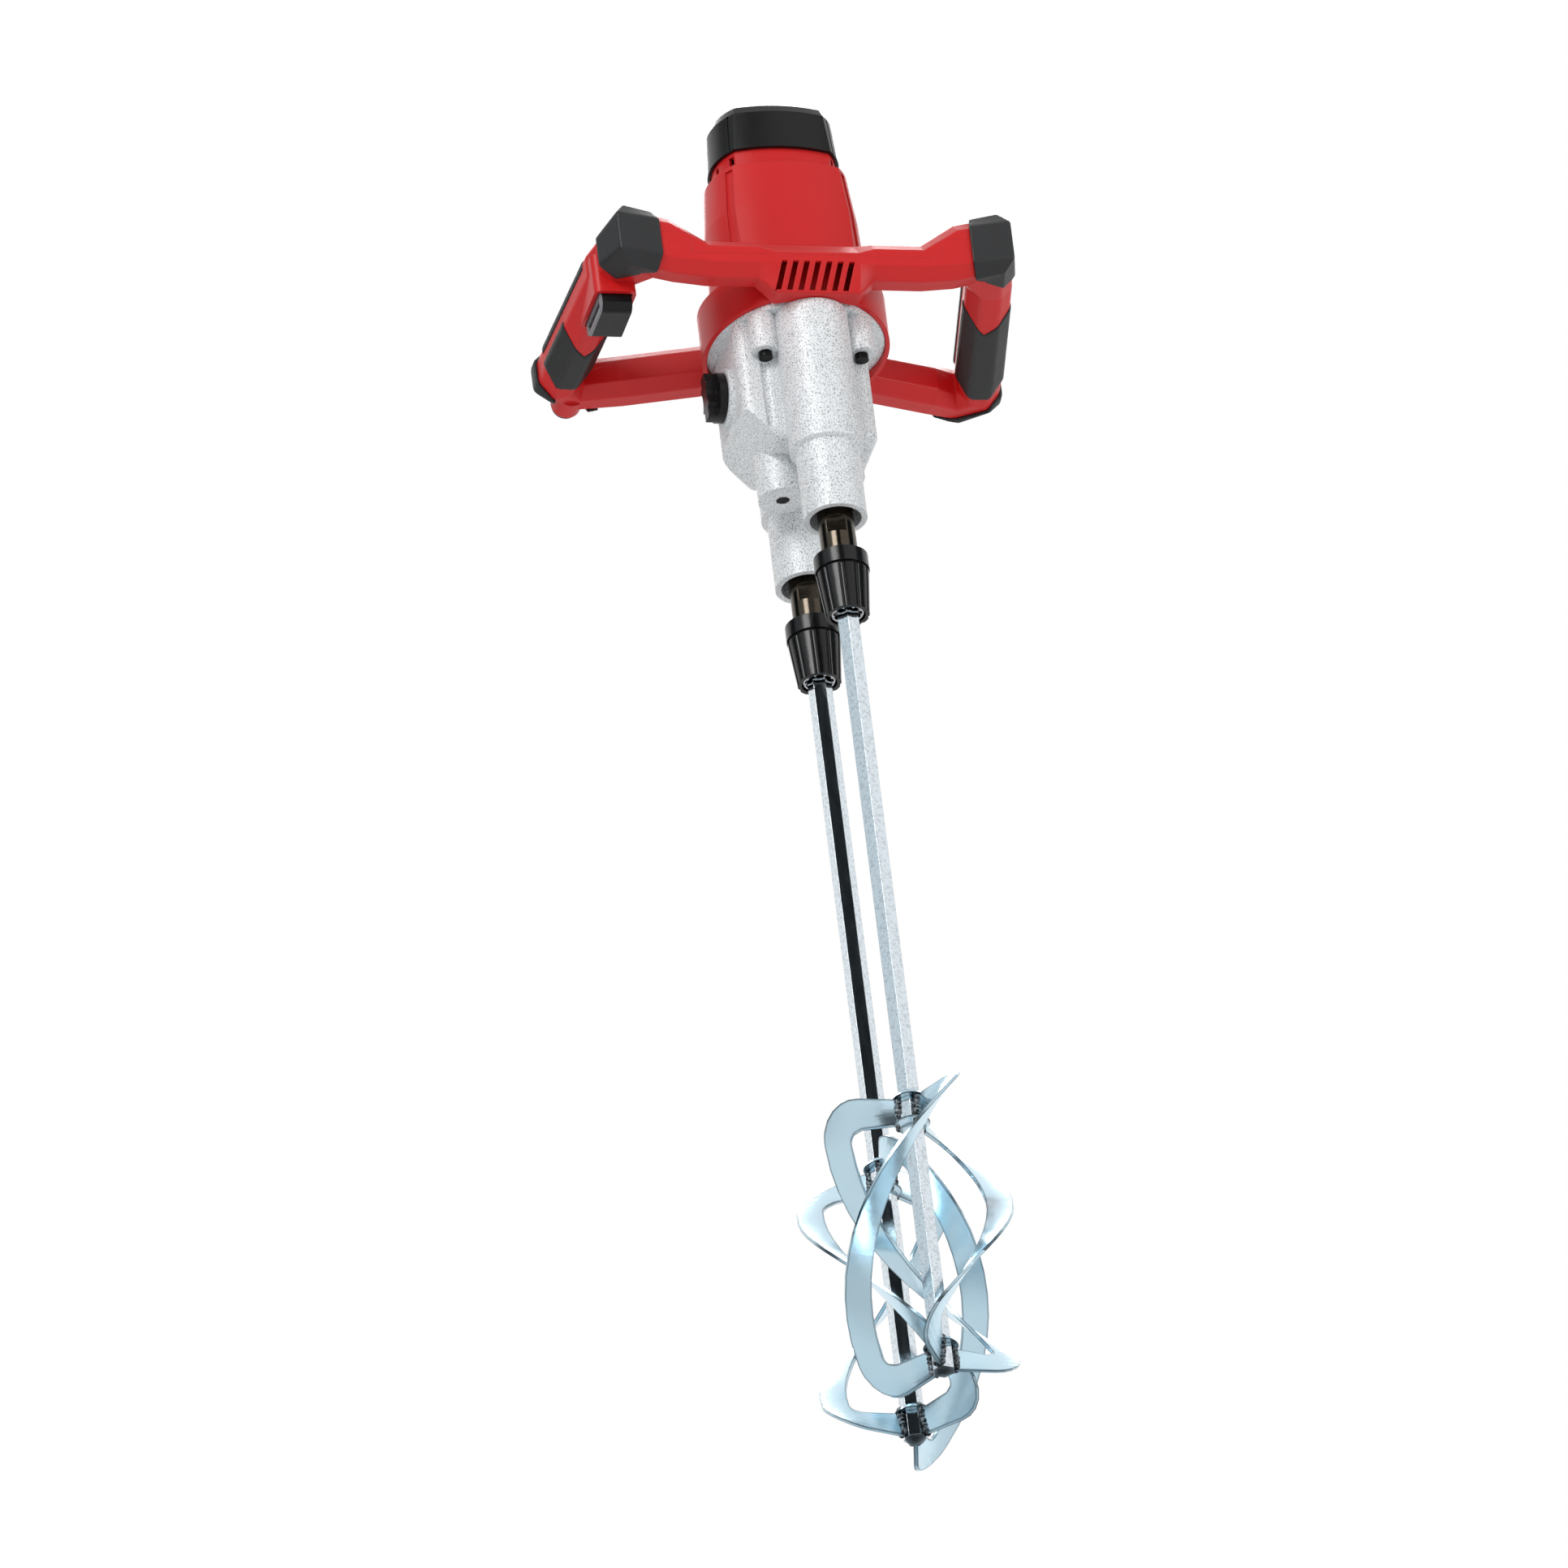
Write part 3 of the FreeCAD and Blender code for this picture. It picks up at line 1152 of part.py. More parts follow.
def cap_screw_holes():
    holes = []
    head_z = CAP_RIM_Z - CAP_SCREW_HEAD
    plate_top_z = NECK_TOP_Z + BRIDGE_PLATE_THICK
    for x, y in cap_screw_places():
        holes.append(cylinder(CAP_SCREW_HEAD_R + SEAT_CLEAR, head_z, CAP_TOP_Z + CAP_WALL, x, y))
        holes.append(cylinder(CAP_SCREW_R, plate_top_z - CAP_WALL, head_z + CAP_WALL, x, y))
    return holes


def motor_cap():
    plate_top_z = NECK_TOP_Z + BRIDGE_PLATE_THICK
    room = cap_body(CAP_WALL)
    for x, y in cap_screw_places():
        room = room.cut(cylinder(CAP_POST_R, plate_top_z, CAP_TOP_Z + CAP_WALL, x, y))
    body = cap_body(0).cut(room)
    ring = cap_body(0).cut(cap_body(CAP_GROOVE_DEPTH))
    grooves = []
    half = CAP_GROOVE_HALF
    groove_low_z = NECK_TOP_Z - CAP_WALL
    for angle in PANEL_GROOVE_ANGLES:
        cut = box(NECK_HALF_Y / 2, SHOULDER_HALF_X, -half, half, groove_low_z, CAP_RIM_Z)
        grooves.append(around(cut, angle).common(ring))
    return main_solid(carved(body, cap_screw_holes() + cap_vents() + grooves))


def cap_screws():
    screws = []
    head_z = CAP_RIM_Z - CAP_SCREW_HEAD
    for x, y in cap_screw_places():
        head = cylinder(CAP_SCREW_HEAD_R, head_z, head_z + CAP_SCREW_HEAD, x, y)
        shank = cylinder(CAP_SCREW_R, NECK_TOP_Z, head_z, x, y)
        screws.append(fused([head, shank]))
    return screws


# Motor pieces

def brush_bridge():
    low_z = NECK_TOP_Z
    high_z = NECK_TOP_Z + BRIDGE_PLATE_THICK
    flange_x = CAP_LOW_HALF_X - CAP_WALL - SEAT_CLEAR - SEAT_CLEAR
    flange_y = CAP_LOW_HALF_Y - CAP_WALL - SEAT_CLEAR - SEAT_CLEAR
    flange = oval([(flange_x, flange_y, low_z), (flange_x, flange_y, high_z)])
    cup = cylinder(TOP_BEARING_R + BEARING_CUP_WALL, NECK_TOP_Z - TOP_BEARING_WIDTH, high_z)
    body = fused([flange, cup])
    body = body.cut(cylinder(TOP_BEARING_R, NECK_TOP_Z - TOP_BEARING_WIDTH, NECK_TOP_Z))
    body = body.cut(cylinder(TOP_BEARING_BORE_R + GEAR_GAP, NECK_TOP_Z, high_z))
    holes = [cylinder(CAP_SCREW_R, low_z, high_z, x, y) for x, y in cap_screw_places()]
    air = []
    air_start = TOP_BEARING_R + 2 * BEARING_CUP_WALL
    air_end = NECK_HALF_Y - 2 * HOUSING_WALL
    opening = box(air_start, air_end, -TOP_BEARING_R, TOP_BEARING_R, low_z, high_z)
    for angle in (QUARTER_TURN, -QUARTER_TURN):
        air.append(around(opening, angle))
    return main_solid(carved(body, holes + air))


def brush_z():
    return (COMMUTATOR_LOW_Z + COMMUTATOR_TOP_Z) / 2


def brush_holders():
    half_y = BRUSH_HALF_Y + HOLDER_WALL
    start_x = COMMUTATOR_R + 2 * HOLDER_WALL
    low_z = brush_z() - BRUSH_HALF_Z - HOLDER_WALL
    block = box(start_x, HOLDER_END_X, -half_y, half_y, low_z, NECK_TOP_Z)
    channel_end = HOLDER_END_X - HOLDER_WALL
    open_y = BRUSH_HALF_Y + RUN_CLEAR
    open_z = BRUSH_HALF_Z + RUN_CLEAR
    channel = box(start_x, channel_end, -open_y, open_y, brush_z() - open_z, brush_z() + open_z)
    holder = block.cut(channel)
    return group([holder, mirrored_x(holder)])


def carbon_brushes():
    start_x = COMMUTATOR_R + RUN_CLEAR
    end_x = start_x + BRUSH_LENGTH
    low_z = brush_z() - BRUSH_HALF_Z
    high_z = brush_z() + BRUSH_HALF_Z
    brush = box(start_x, end_x, -BRUSH_HALF_Y, BRUSH_HALF_Y, low_z, high_z)
    face = cylinder(COMMUTATOR_R + RUN_CLEAR, COMMUTATOR_LOW_Z, COMMUTATOR_TOP_Z)
    brush = brush.cut(face)
    return group([brush, mirrored_x(brush)])


def brush_springs():
    start = Vector(COMMUTATOR_R + RUN_CLEAR + BRUSH_LENGTH, 0, brush_z())
    end = Vector(HOLDER_END_X - HOLDER_WALL, 0, brush_z())
    spring = cylinder_along(BRUSH_SPRING_R, start, end)
    return group([spring, mirrored_x(spring)])


def stator_core():
    grip = HOUSING_WALL + SEAT_CLEAR
    share = (STATOR_TOP_Z - BELLY_Z) / (SHOULDER_Z - BELLY_Z)
    half_x = BELLY_HALF_X + (SHOULDER_HALF_X - BELLY_HALF_X) * share - grip
    half_y = BELLY_HALF_Y + (SHOULDER_HALF_Y - BELLY_HALF_Y) * share - grip
    body = oval([(half_x, half_y, STATOR_LOW_Z), (half_x, half_y, STATOR_TOP_Z)])
    return body.cut(cylinder(STATOR_BORE_R, STATOR_LOW_Z, STATOR_TOP_Z))


def field_coils():
    coils = []
    side_x = COIL_OUT_R * math.sin(math.radians(COIL_HALF_ANGLE))
    for low_z in (STATOR_LOW_Z - COIL_OVERHANG, STATOR_TOP_Z):
        high_z = low_z + COIL_OVERHANG
        ring = tube(COIL_OUT_R, COIL_IN_R, low_z, high_z)
        rear = ring.common(box(-side_x, side_x, COIL_IN_R / 2, COIL_OUT_R, low_z, high_z))
        coils.extend([rear, around(rear, HALF_TURN)])
    return group(coils)


def armature_core():
    core_r = STATOR_BORE_R - AIR_GAP
    body = cylinder(core_r, STATOR_LOW_Z, STATOR_TOP_Z)
    slot_r = core_r - CORE_SLOT_DEPTH
    half = CORE_SLOT_HALF
    slot = box(slot_r, core_r + AIR_GAP, -half, half, STATOR_LOW_Z, STATOR_TOP_Z)
    slots = [around(slot, FULL_TURN * step / CORE_SLOTS) for step in range(CORE_SLOTS)]
    return carved(body, slots).cut(cylinder(MOTOR_SHAFT_R, STATOR_LOW_Z, STATOR_TOP_Z))


def armature_windings():
    rings = []
    for low_z in (STATOR_LOW_Z - WINDING_OVERHANG, STATOR_TOP_Z):
        rings.append(tube(WINDING_R, MOTOR_SHAFT_R, low_z, low_z + WINDING_OVERHANG))
    return group(rings)


def commutator():
    body = tube(COMMUTATOR_R, MOTOR_SHAFT_R, COMMUTATOR_LOW_Z, COMMUTATOR_TOP_Z)
    half = COMMUTATOR_SLIT / 2
    slit_r = COMMUTATOR_R - 2 * COMMUTATOR_SLIT
    outer_r = COMMUTATOR_R + COMMUTATOR_SLIT
    slit = box(slit_r, outer_r, -half, half, COMMUTATOR_LOW_Z, COMMUTATOR_TOP_Z)
    slits = [around(slit, FULL_TURN * step / COMMUTATOR_BARS) for step in range(COMMUTATOR_BARS)]
    return carved(body, slits)


def cooling_fan():
    solids = [cylinder(FAN_R, FAN_TOP_Z - FAN_DISC, FAN_TOP_Z), cylinder(FAN_HUB_R, FAN_LOW_Z, FAN_TOP_Z)]
    vane = box(FAN_HUB_R - FAN_DISC, FAN_R, -FAN_BLADE_HALF, FAN_BLADE_HALF, FAN_LOW_Z, FAN_TOP_Z)
    vane = vane.common(cylinder(FAN_R, FAN_LOW_Z, FAN_TOP_Z))
    solids.extend(around(vane, FULL_TURN * step / FAN_BLADES) for step in range(FAN_BLADES))
    return fused(solids).cut(cylinder(MOTOR_SHAFT_R, FAN_LOW_Z, FAN_TOP_Z))


def armature_shaft():
    bearing_low_z = NECK_TOP_Z - TOP_BEARING_WIDTH
    main = cylinder(MOTOR_SHAFT_R, FIRST_TOP_Z, bearing_low_z - SEAT_CLEAR)
    top = cylinder(TOP_BEARING_BORE_R, bearing_low_z - SEAT_CLEAR, NECK_TOP_Z)
    tip = cylinder(PINION_BORE_R, FIRST_LOW_Z, FIRST_TOP_Z)
    return fused([main, top, tip])


def motor_bearings():
    top = tube(TOP_BEARING_R, TOP_BEARING_BORE_R + RUN_CLEAR, NECK_TOP_Z - TOP_BEARING_WIDTH, NECK_TOP_Z)
    low = tube(MOTOR_BEARING_R, MOTOR_SHAFT_R + RUN_CLEAR, CASE_TOP_Z, PLATE_TOP_Z)
    return group([top, low])


def spindle_bearings():
    rings = []
    bore_r = SHAFT_R + RUN_CLEAR
    boss_low_z = CASE_TOP_Z - PLATE_BOSS_DEEP
    seat_top = BEARING_SEAT_Z + LOWER_BEARING_WIDTH
    for name, side in SPINDLE_SIDES:
        y = side * SPINDLE_Y
        rings.append(tube(SPINDLE_TOP_BEARING_R, bore_r, boss_low_z, CASE_TOP_Z, 0, y))
        rings.append(tube(SPINDLE_BEARING_R, bore_r, BEARING_SEAT_Z, seat_top, 0, y))
    return group(rings)


def shaft_seals():
    rings = []
    for name, side in SPINDLE_SIDES:
        low_z = SEAL_TOP_Z - SEAL_THICK
        rings.append(tube(MOUTH_BORE_R, SHAFT_R + RUN_CLEAR, low_z, SEAL_TOP_Z, 0, side * SPINDLE_Y))
    return group(rings)


# Handle frame

def station(x, y, z, outward, half_w, half_h, chamfers, round_r):
    return (x, y, z, outward, half_w, half_h, chamfers, round_r)


def grip_station(x, y, z):
    grip = (GRIP_CHAMFER, GRIP_CHAMFER, GRIP_CHAMFER, GRIP_CHAMFER)
    return station(x, y, z, 0, GRIP_HALF_W, GRIP_HALF_H, grip, GRIP_ROUND)


def right_stations(extra):
    beam = (BEAM_CHAMFER, BEAM_CHAMFER, BEAM_CHAMFER, BEAM_CHAMFER)
    grip = (GRIP_CHAMFER, GRIP_CHAMFER, GRIP_CHAMFER, GRIP_CHAMFER)
    block = (BLOCK_TOP_CHAMFER, BLOCK_TOP_CHAMFER, BLOCK_VENT_DEEP, BLOCK_VENT_HIGH)
    block_z = (BLOCK_TOP_Z + BLOCK_LOW_Z) / 2
    block_half = (BLOCK_TOP_Z - BLOCK_LOW_Z) / 2
    grip_mid_x = (GRIP_FRONT_X + GRIP_REAR_X) / 2
    grip_mid_y = (GRIP_FRONT_Y + GRIP_REAR_Y) / 2
    grip_mid_z = (GRIP_FRONT_Z + GRIP_REAR_Z) / 2
    arm_angle = QUARTER_TURN + math.degrees(math.atan2(ARM_START_Y - ARM_ROOT_Y, ARM_START_X - ARM_ROOT_X))
    front = -QUARTER_TURN
    return [
        station(BLOCK_HALF_X, BAR_Y, block_z, front, BLOCK_HALF_Y, block_half, block, BEAM_ROUND),
        station(BLOCK_END_X, BAR_Y, 0, front, BEAM_HALF, BEAM_HALF, beam, BEAM_ROUND),
        station(BAR_KNEE_X, BAR_Y, 0, front, BEAM_HALF, BEAM_HALF, beam, BEAM_ROUND),
        station(RISE_X, BAR_Y, RISE_Z, RISE_ANGLE, BEAM_HALF, CORNER_HALF_H, beam, BEAM_ROUND),
        station(CORNER_X, CORNER_Y, CORNER_Z, CORNER_ANGLE, CORNER_HALF_W, CORNER_HALF_H, beam, BEAM_ROUND),
        grip_station(GRIP_FRONT_X + extra, GRIP_FRONT_Y, GRIP_FRONT_Z),
        grip_station(grip_mid_x + extra, grip_mid_y, grip_mid_z),
        grip_station(GRIP_REAR_X + extra, GRIP_REAR_Y, GRIP_REAR_Z),
        station(TAIL_X + extra, TAIL_Y, TAIL_Z, TAIL_ANGLE, GRIP_HALF_W, GRIP_HALF_H, grip, GRIP_ROUND),
        station(HEEL_X + extra, HEEL_Y, HEEL_Z, HEEL_ANGLE, BEAM_HALF, ARM_HALF_H, beam, BEAM_ROUND),
        station(ARM_START_X, ARM_START_Y, ARM_Z, arm_angle, BEAM_HALF, ARM_HALF_H, beam, BEAM_ROUND),
        station(ARM_ROOT_X, ARM_ROOT_Y, ARM_Z, arm_angle, BEAM_HALF, ARM_HALF_H, beam, BEAM_ROUND),
    ]


def frame_stations():
    right = right_stations(0)
    left = []
    for x, y, z, outward, half_w, half_h, chamfers, round_r in reversed(right_stations(SWITCH_SIDE_EXTRA)):
        left.append(station(-x, y, z, HALF_TURN - outward, half_w, half_h, chamfers, round_r))
    return left + right


def section_points(half_w, half_h, chamfers):
    top_w, top_h, low_w, low_h = chamfers
    return [
        (half_w, half_h - top_h),
        (half_w - top_w, half_h),
        (top_w - half_w, half_h),
        (-half_w, half_h - top_h),
        (-half_w, low_h - half_h),
        (low_w - half_w, -half_h),
        (half_w - low_w, -half_h),
        (half_w, low_h - half_h),
    ]


def rounded_wire(corners, round_r):
    count = len(corners)
    starts = []
    arcs = []
    for index in range(count):
        corner = corners[index]
        back = corners[index - 1] - corner
        ahead = corners[(index + 1) % count] - corner
        angle = back.getAngle(ahead)
        reach = round_r / math.tan(angle / 2)
        limit = min(back.Length, ahead.Length) * (1 - BACKLASH_SHARE) / 2
        reach = min(reach, limit)
        radius = reach * math.tan(angle / 2)
        back.normalize()
        ahead.normalize()
        bisector = back + ahead
        bisector.normalize()
        centre = corner + bisector * (radius / math.sin(angle / 2))
        middle = centre - bisector * radius
        first = corner + back * reach
        last = corner + ahead * reach
        starts.append((first, last))
        arcs.append(Part.Arc(first, middle, last).toShape())
    edges = []
    for index in range(count):
        edges.append(arcs[index])
        edges.append(Part.makeLine(starts[index][1], starts[(index + 1) % count][0]))
    return Part.Wire(edges)


def frame_path(grow):
    wires = []
    for x, y, z, outward, half_w, half_h, chamfers, round_r in frame_stations():
        turn = math.radians(outward)
        across = Vector(math.cos(turn), math.sin(turn), 0)
        centre = Vector(x, y, z)
        offset = [chamfer + grow * CHAMFER_SHARE for chamfer in chamfers]
        points = section_points(half_w + grow, half_h + grow, offset)
        corners = [centre + across * w + Vector(0, 0, h) for w, h in points]
        if grow < 0:
            wires.append(Part.makePolygon(corners + corners[:1]))
        else:
            wires.append(rounded_wire(corners, round_r))
    return Part.makeLoft(wires, True, True)


def parting_below():
    start = -FAR
    line = [
        (start, CORNER_Z),
        (CORNER_Y, CORNER_Z),
        (GRIP_FRONT_Y, GRIP_FRONT_Z),
        (GRIP_REAR_Y, GRIP_REAR_Z),
        (TAIL_Y, TAIL_Z),
        (HEEL_Y, HEEL_Z),
        (FAR, HEEL_Z),
    ]
    below = prism_x(line + [(FAR, -FAR), (start, -FAR)], -FAR, FAR)
    bar_all = box(-PARTING_STEP_X, PARTING_STEP_X, -FAR, 0, -FAR, FAR)
    bar_low = box(-PARTING_STEP_X, PARTING_STEP_X, -FAR, 0, -FAR, 0)
    return below.cut(bar_all).fuse(bar_low)


def trigger_box(shrink):
    low_x = TRIGGER_BOX_OUT_X + shrink
    high_x = TRIGGER_BOX_IN_X - shrink
    low_y = TRIGGER_BOX_FRONT_Y + shrink
    high_y = TRIGGER_BOX_REAR_Y - shrink
    body = box(low_x, high_x, low_y, high_y, TRIGGER_BOX_LOW_Z + shrink, TRIGGER_BOX_TOP_Z)
    upright = [edge for edge in body.Edges if edge.BoundBox.ZLength > body.BoundBox.ZLength / 2]
    return body.makeFillet(TRIGGER_BOX_ROUND - shrink, upright)


def trigger_parting():
    front_y = TRIGGER_BOX_FRONT_Y - FRAME_WALL
    rear_y = TRIGGER_BOX_REAR_Y + FRAME_WALL
    return box(-FAR, -BUMPER_INNER_X, front_y, rear_y, -FAR, TRIGGER_BOX_TOP_Z + FRAME_WALL)


def trigger_side_room():
    front_y = TRIGGER_BOX_FRONT_Y - SEAT_CLEAR
    return box(-FAR, -CORNER_X, front_y, FAR, -FAR, TRIGGER_BOX_TOP_Z)


def trigger_room():
    clear = TRIGGER_SLOT_CLEAR
    low_x = TRIGGER_MID_X - TRIGGER_HALF_X - clear
    high_x = TRIGGER_MID_X + TRIGGER_HALF_X + clear
    low_y = TRIGGER_FRONT_Y - clear
    high_y = TRIGGER_REAR_Y + TRIGGER_SWING_CLEAR
    return box(low_x, high_x, low_y, high_y, TRIGGER_LOW_Z, TRIGGER_BOX_TOP_Z)


def vent_slots():
    slots = []
    span = (VENT_COUNT - 1) / 2
    face_y = BAR_Y - BLOCK_HALF_Y
    deep_y = face_y + BLOCK_VENT_DEEP + 3 * FRAME_WALL
    near_y = face_y - FRAME_WALL
    for index in range(VENT_COUNT):
        x = (index - span) * VENT_PITCH
        outline = [
            Vector(x - VENT_HALF_WIDTH, near_y, VENT_TOP_Z),
            Vector(x + VENT_HALF_WIDTH, near_y, VENT_TOP_Z),
            Vector(x + VENT_HALF_WIDTH - VENT_LEAN, near_y, VENT_LOW_Z),
            Vector(x - VENT_HALF_WIDTH - VENT_LEAN, near_y, VENT_LOW_Z),
        ]
        face = Part.Face(Part.makePolygon(outline + outline[:1]))
        slots.append(face.extrude(Vector(0, deep_y - near_y, 0)))
    return slots


def cord_boss():
    start = Vector(CORD_X, CORD_BOSS_FRONT_Y, CORD_Z)
    body = cylinder_along(CORD_BOSS_R, start, Vector(CORD_X, CORD_BOSS_Y, CORD_Z))
    rim = [edge for edge in body.Edges if edge.BoundBox.YMin > CORD_BOSS_Y - SEAT_CLEAR]
    return body.makeFillet(CORD_BOSS_ROUND - CORD_BOSS_R + GLAND_FLANGE_R, rim)


def cord_boss_room():
    reach = CORD_BOSS_R + CORD_BOSS_CLEAR
    front_y = CORD_BOSS_FRONT_Y - CORD_BOSS_R
    return box(CORD_X - reach, CORD_X + reach, front_y, FAR, -FAR, CORD_Z + reach)


def cord_hole():
    start = Vector(CORD_X, CORD_BOSS_FRONT_Y - FRAME_WALL, CORD_Z)
    return cylinder_along(GLAND_R, start, Vector(CORD_X, CORD_BOSS_Y, CORD_Z))


def cord_gland():
    start = Vector(CORD_X, CORD_BOSS_FRONT_Y - FRAME_WALL, CORD_Z)
    face = Vector(CORD_X, CORD_BOSS_Y, CORD_Z)
    end = Vector(CORD_X, CORD_BOSS_Y + GLAND_FLANGE, CORD_Z)
    body = cylinder_along(GLAND_R, start, face).fuse(cylinder_along(GLAND_FLANGE_R, face, end))
    return merged_faces(body.cut(cylinder_along(CORD_BORE_R, start, end)))


def side_plan(points, side, extra):
    return [(side * (x + extra), y) for x, y in points]


def front_bumper_region(side):
    outer_x = CORNER_X + 2 * CORNER_HALF_W
    front_y = CORNER_Y - 2 * CORNER_HALF_W
    points = [
        (BUMPER_INNER_X, front_y),
        (outer_x, front_y),
        (outer_x, BUMPER_REAR_Y),
        (CORNER_X + BEAM_HALF, BUMPER_REAR_Y),
        (CORNER_X, BUMPER_INNER_Y),
        (CORNER_X - BEAM_CHAMFER, BUMPER_INNER_Y - BEAM_HALF / 2),
    ]
    return prism(side_plan(points, side, 0), -FAR, FAR)


def rear_bumper_region(side, extra):
    outer_x = TAIL_X + 2 * CORNER_HALF_W
    back_y = HEEL_Y + 2 * CORNER_HALF_W
    points = [
        (REAR_BUMPER_X, REAR_BUMPER_Y),
        (HEEL_X, REAR_BUMPER_Y),
        (TAIL_X + GRIP_HALF_W / 2, TAIL_Y),
        (outer_x, REAR_BUMPER_REACH),
        (outer_x, back_y),
        (REAR_BUMPER_X, back_y),
    ]
    return prism(side_plan(points, side, extra), -FAR, FAR)


def pad_plan(side, extra, front_y, notch):
    inner_x = GRIP_FRONT_X - 2 * GRIP_HALF_W
    outer_x = GRIP_REAR_X + 2 * GRIP_HALF_W
    share = (front_y - GRIP_FRONT_Y) / (GRIP_REAR_Y - GRIP_FRONT_Y)
    mid_x = GRIP_FRONT_X + (GRIP_REAR_X - GRIP_FRONT_X) * share
    tail_inner_x = GRIP_REAR_X - GRIP_HALF_W
    points = [
        (inner_x, front_y - notch),
        (mid_x - GRIP_HALF_W, front_y),
        (mid_x, front_y + notch),
        (mid_x + GRIP_HALF_W, front_y),
        (outer_x, front_y - notch),
        (outer_x, PAD_REAR_Y - GRIP_HALF_W / 2),
        (GRIP_REAR_X + GRIP_HALF_W, PAD_REAR_Y - GRIP_HALF_W / 2),
        (GRIP_REAR_X + GRIP_HALF_W / 2, PAD_REAR_Y),
        (GRIP_REAR_X - GRIP_HALF_W / 2, PAD_REAR_Y),
        (tail_inner_x, PAD_REAR_Y - GRIP_HALF_W / 2),
        (inner_x, PAD_REAR_Y - GRIP_HALF_W / 2),
    ]
    return prism(side_plan(points, side, extra), -FAR, FAR)


def grip_band(low_offset, high_offset):
    slope = (GRIP_REAR_Z - GRIP_FRONT_Z) / (GRIP_REAR_Y - GRIP_FRONT_Y)
    points = []
    for y in (-FAR, FAR):
        points.append((y, GRIP_FRONT_Z + slope * (y - GRIP_FRONT_Y)))
    outline = [
        (points[0][0], points[0][1] + low_offset),
        (points[1][0], points[1][1] + low_offset),
        (points[1][0], points[1][1] + high_offset),
        (points[0][0], points[0][1] + high_offset),
    ]
    return prism_x(outline, -FAR, FAR)


def screw_places():
    places = []
    for side, extra in ((1, 0), (-1, SWITCH_SIDE_EXTRA)):
        places.append((side * BAR_KNEE_X, BAR_Y, 0, BEAM_HALF))
        places.append((side * (GRIP_REAR_X + extra), GRIP_REAR_Y + GRIP_HALF_W, TAIL_Z, GRIP_HALF_H))
        places.append((side * ARM_START_X, ARM_START_Y, ARM_Z, ARM_HALF_H))
    return places


def frame_posts():
    return [cylinder(FRAME_POST_R, z - half, z + half, x, y) for x, y, z, half in screw_places()]


def frame_screw_holes():
    holes = []
    for x, y, z, half in screw_places():
        head_low = z + half - FRAME_SCREW_SINK
        holes.append(cylinder(FRAME_SCREW_HEAD_R + SEAT_CLEAR, head_low, z + 2 * half, x, y))
        holes.append(cylinder(FRAME_SCREW_R, z - FRAME_SCREW_BITE, head_low, x, y))
    return holes


def frame_screws():
    screws = []
    for x, y, z, half in screw_places():
        head_low = z + half - FRAME_SCREW_SINK
        head = cylinder(FRAME_SCREW_HEAD_R, head_low, head_low + FRAME_SCREW_HEAD, x, y)
        shank = cylinder(FRAME_SCREW_R, z - FRAME_SCREW_BITE, head_low, x, y)
        screws.append(fused([head, shank]))
    return screws


def lock_button_axis(start_x, end_x):
    return Vector(start_x, LOCK_BUTTON_Y, LOCK_BUTTON_Z), Vector(end_x, LOCK_BUTTON_Y, LOCK_BUTTON_Z)


def lock_button():
    out_x = TRIGGER_BOX_IN_X + LOCK_BUTTON_PROUD
    flange_x = TRIGGER_BOX_IN_X - FRAME_WALL - RUN_CLEAR
    start, end = lock_button_axis(flange_x, out_x)
    body = cylinder_along(LOCK_BUTTON_R, start, end)
    low, high = lock_button_axis(flange_x - LOCK_BUTTON_FLANGE, flange_x)
    return fused([body, cylinder_along(LOCK_BUTTON_R + LOCK_BUTTON_FLANGE, low, high)])


def frame_shells(outer, pads):
    shell = outer.cut(frame_path(-FRAME_WALL))
    extras = [trigger_box(0).cut(trigger_box(FRAME_WALL)), cord_boss()]
    inner = frame_path(-FRAME_WALL)
    extras = [extra.cut(inner) for extra in extras]
    posts = [post.common(outer) for post in frame_posts()]
    for extra in extras + posts:
        shell = shell.fuse(extra)
    housing = fused(housing_outer(FRAME_HOUSING_CLEAR) + [rear_block(-FRAME_HOUSING_CLEAR)])
    shell = shell.cut(housing)
    start, end = lock_button_axis(TRIGGER_BOX_IN_X - 2 * FRAME_WALL, TRIGGER_BOX_IN_X + FRAME_WALL)
    cuts = [trigger_room(), trigger_box(FRAME_WALL), cord_hole()] + vent_slots() + frame_screw_holes()
    cuts.append(cylinder_along(LOCK_BUTTON_R + RUN_CLEAR, start, end))
    shell = carved(shell, cuts + pads)
    below = parting_below().fuse(cord_boss()).fuse(trigger_parting())
    lower = main_solid(shell.common(below))
    upper = main_solid(shell.cut(below))
    return upper, lower


def rounded_below(body):
    across = []
    for edge in body.Edges:
        lies_across = edge.BoundBox.XLength > body.BoundBox.XLength / 2
        lies_low = edge.BoundBox.ZMax < TRIGGER_LOW_Z + SEAT_CLEAR
        if lies_across and lies_low:
            across.append(edge)
    return body.makeFillet(TRIGGER_ROUND, across)


def trigger():
    low_x = TRIGGER_MID_X - TRIGGER_HALF_X
    high_x = TRIGGER_MID_X + TRIGGER_HALF_X
    body = box(low_x + TRIGGER_PLATE, high_x, TRIGGER_FRONT_Y, TRIGGER_REAR_Y, TRIGGER_LOW_Z, TRIGGER_TOP_Z)
    body = rounded_below(body)
    return body.cut(trigger_pin_line(TRIGGER_PIN_R + RUN_CLEAR))


